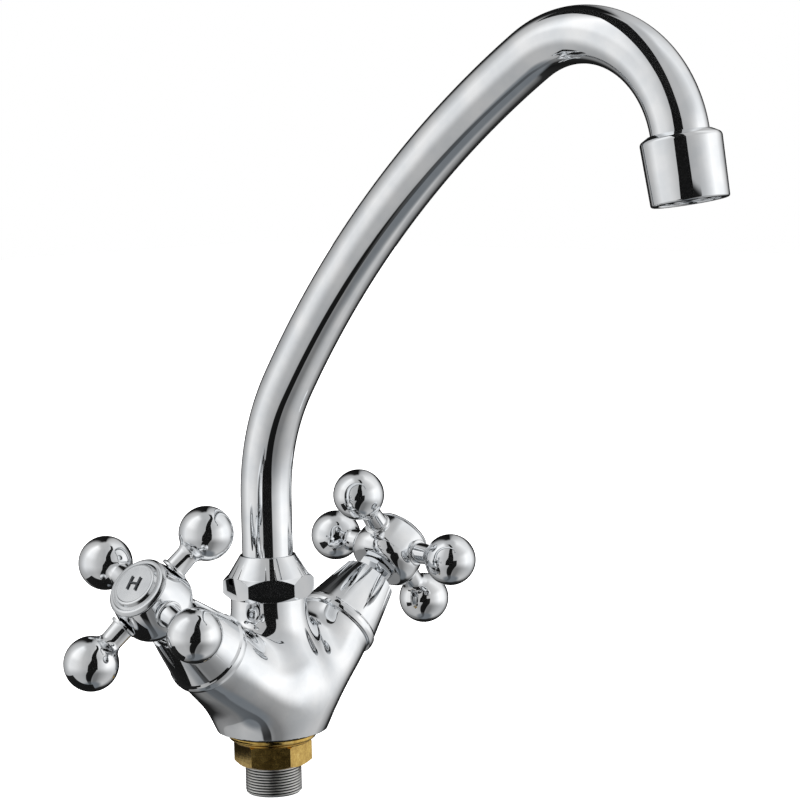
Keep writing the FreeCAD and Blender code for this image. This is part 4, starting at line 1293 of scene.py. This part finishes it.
# %% Dark screen
# Rows from the foot up: to the right of the tap, toward the photographer, height, half width, all in mm.
SCREEN = ((20, 381, -60, 130), (30, 381, 60, 120), (58, 381, 130, 102), (80, 381, 200, 86), (84, 381, 300, 80),
          (80, 320, 344, 60), (84, 220, 360, 44), (90, 150, 356, 32), (92, 100, 350, 26), (70, 58, 342, 22),
          (40, 20, 322, 22))
CARD_Z = FLOOR_Z + 0.4
UNDER_LEFT = ((-106, -60, CARD_Z, 54), (-106, 70, CARD_Z, 54))

cloth, tree, mm = start_finish("black_cloth")
weave = add(tree, "TexNoise", {"Vector": mm, "Scale": 0.4, "Detail": 3.0})
black = add(tree, "ValToRGB", {"Fac": weave}, stops=[(0.3, srgb("060606")), (0.7, srgb("0c0c0c"))])
paint(tree, {"Base Color": black, "Roughness": 1.0})


def dark_card(name, rows):
    """A staged black card through the rows, seen in reflections only."""
    nothing_selected()
    bpy.ops.mesh.primitive_grid_add(x_subdivisions=1, y_subdivisions=len(rows) - 1, size=1)
    card = just_added(name)
    for index, corner in enumerate(card.data.vertices):
        aside, out, high, half = rows[index // 2]
        spot = level * (aside + (half if index % 2 else -half)) + toward * out
        corner.co = metres(spot.x, spot.y, high)
    dress(card, cloth)
    card.visible_camera = False
    card.visible_diffuse = False
    card.visible_shadow = False
    print(name, "of", len(card.data.polygons), "faces")


dark_card("dark_screen", SCREEN)
dark_card("dark_card_left", UNDER_LEFT)

# %% [markdown]
# The room lights the tap by itself. One large lamp overhead only lifts the rubber, the brass and the thread,
# which mirror little. The camera then takes the place that the fit gave. The colours go to the picture as they
# are, because a film look would shift the greys that were set by the photograph.

# %% Lamp and camera
LAMP_AT = (-300, -500, 1400)
LAMP_SIZE = 1.2         # metres
LAMP_WATTS = 16

nothing_selected()
bpy.ops.object.light_add(type="AREA", location=metres(*LAMP_AT))
lamp = bpy.context.object
lamp.name = "overhead_light"
lamp.data.shape = "DISK"
lamp.data.size = LAMP_SIZE
lamp.data.energy = LAMP_WATTS
lamp.rotation_euler = (-lamp.location).to_track_quat("-Z", "Y").to_euler()
lamp.visible_glossy = False

camera_data = bpy.data.cameras.new("camera")
camera_data.sensor_width = SENSOR
camera_data.lens = LENS_PIXELS * SENSOR / IMAGE_PIXELS
camera = bpy.data.objects.new("camera", camera_data)
bpy.context.collection.objects.link(camera)
turned = Matrix((right, above, -look)).transposed().to_4x4()
camera.matrix_world = Matrix.Translation(metres(*CAMERA_AT)) @ turned
scene = bpy.context.scene
scene.camera = camera
scene.view_settings.view_transform = "Standard"
scene.view_settings.look = "None"
print("lens", round(camera_data.lens, 2), "mm")
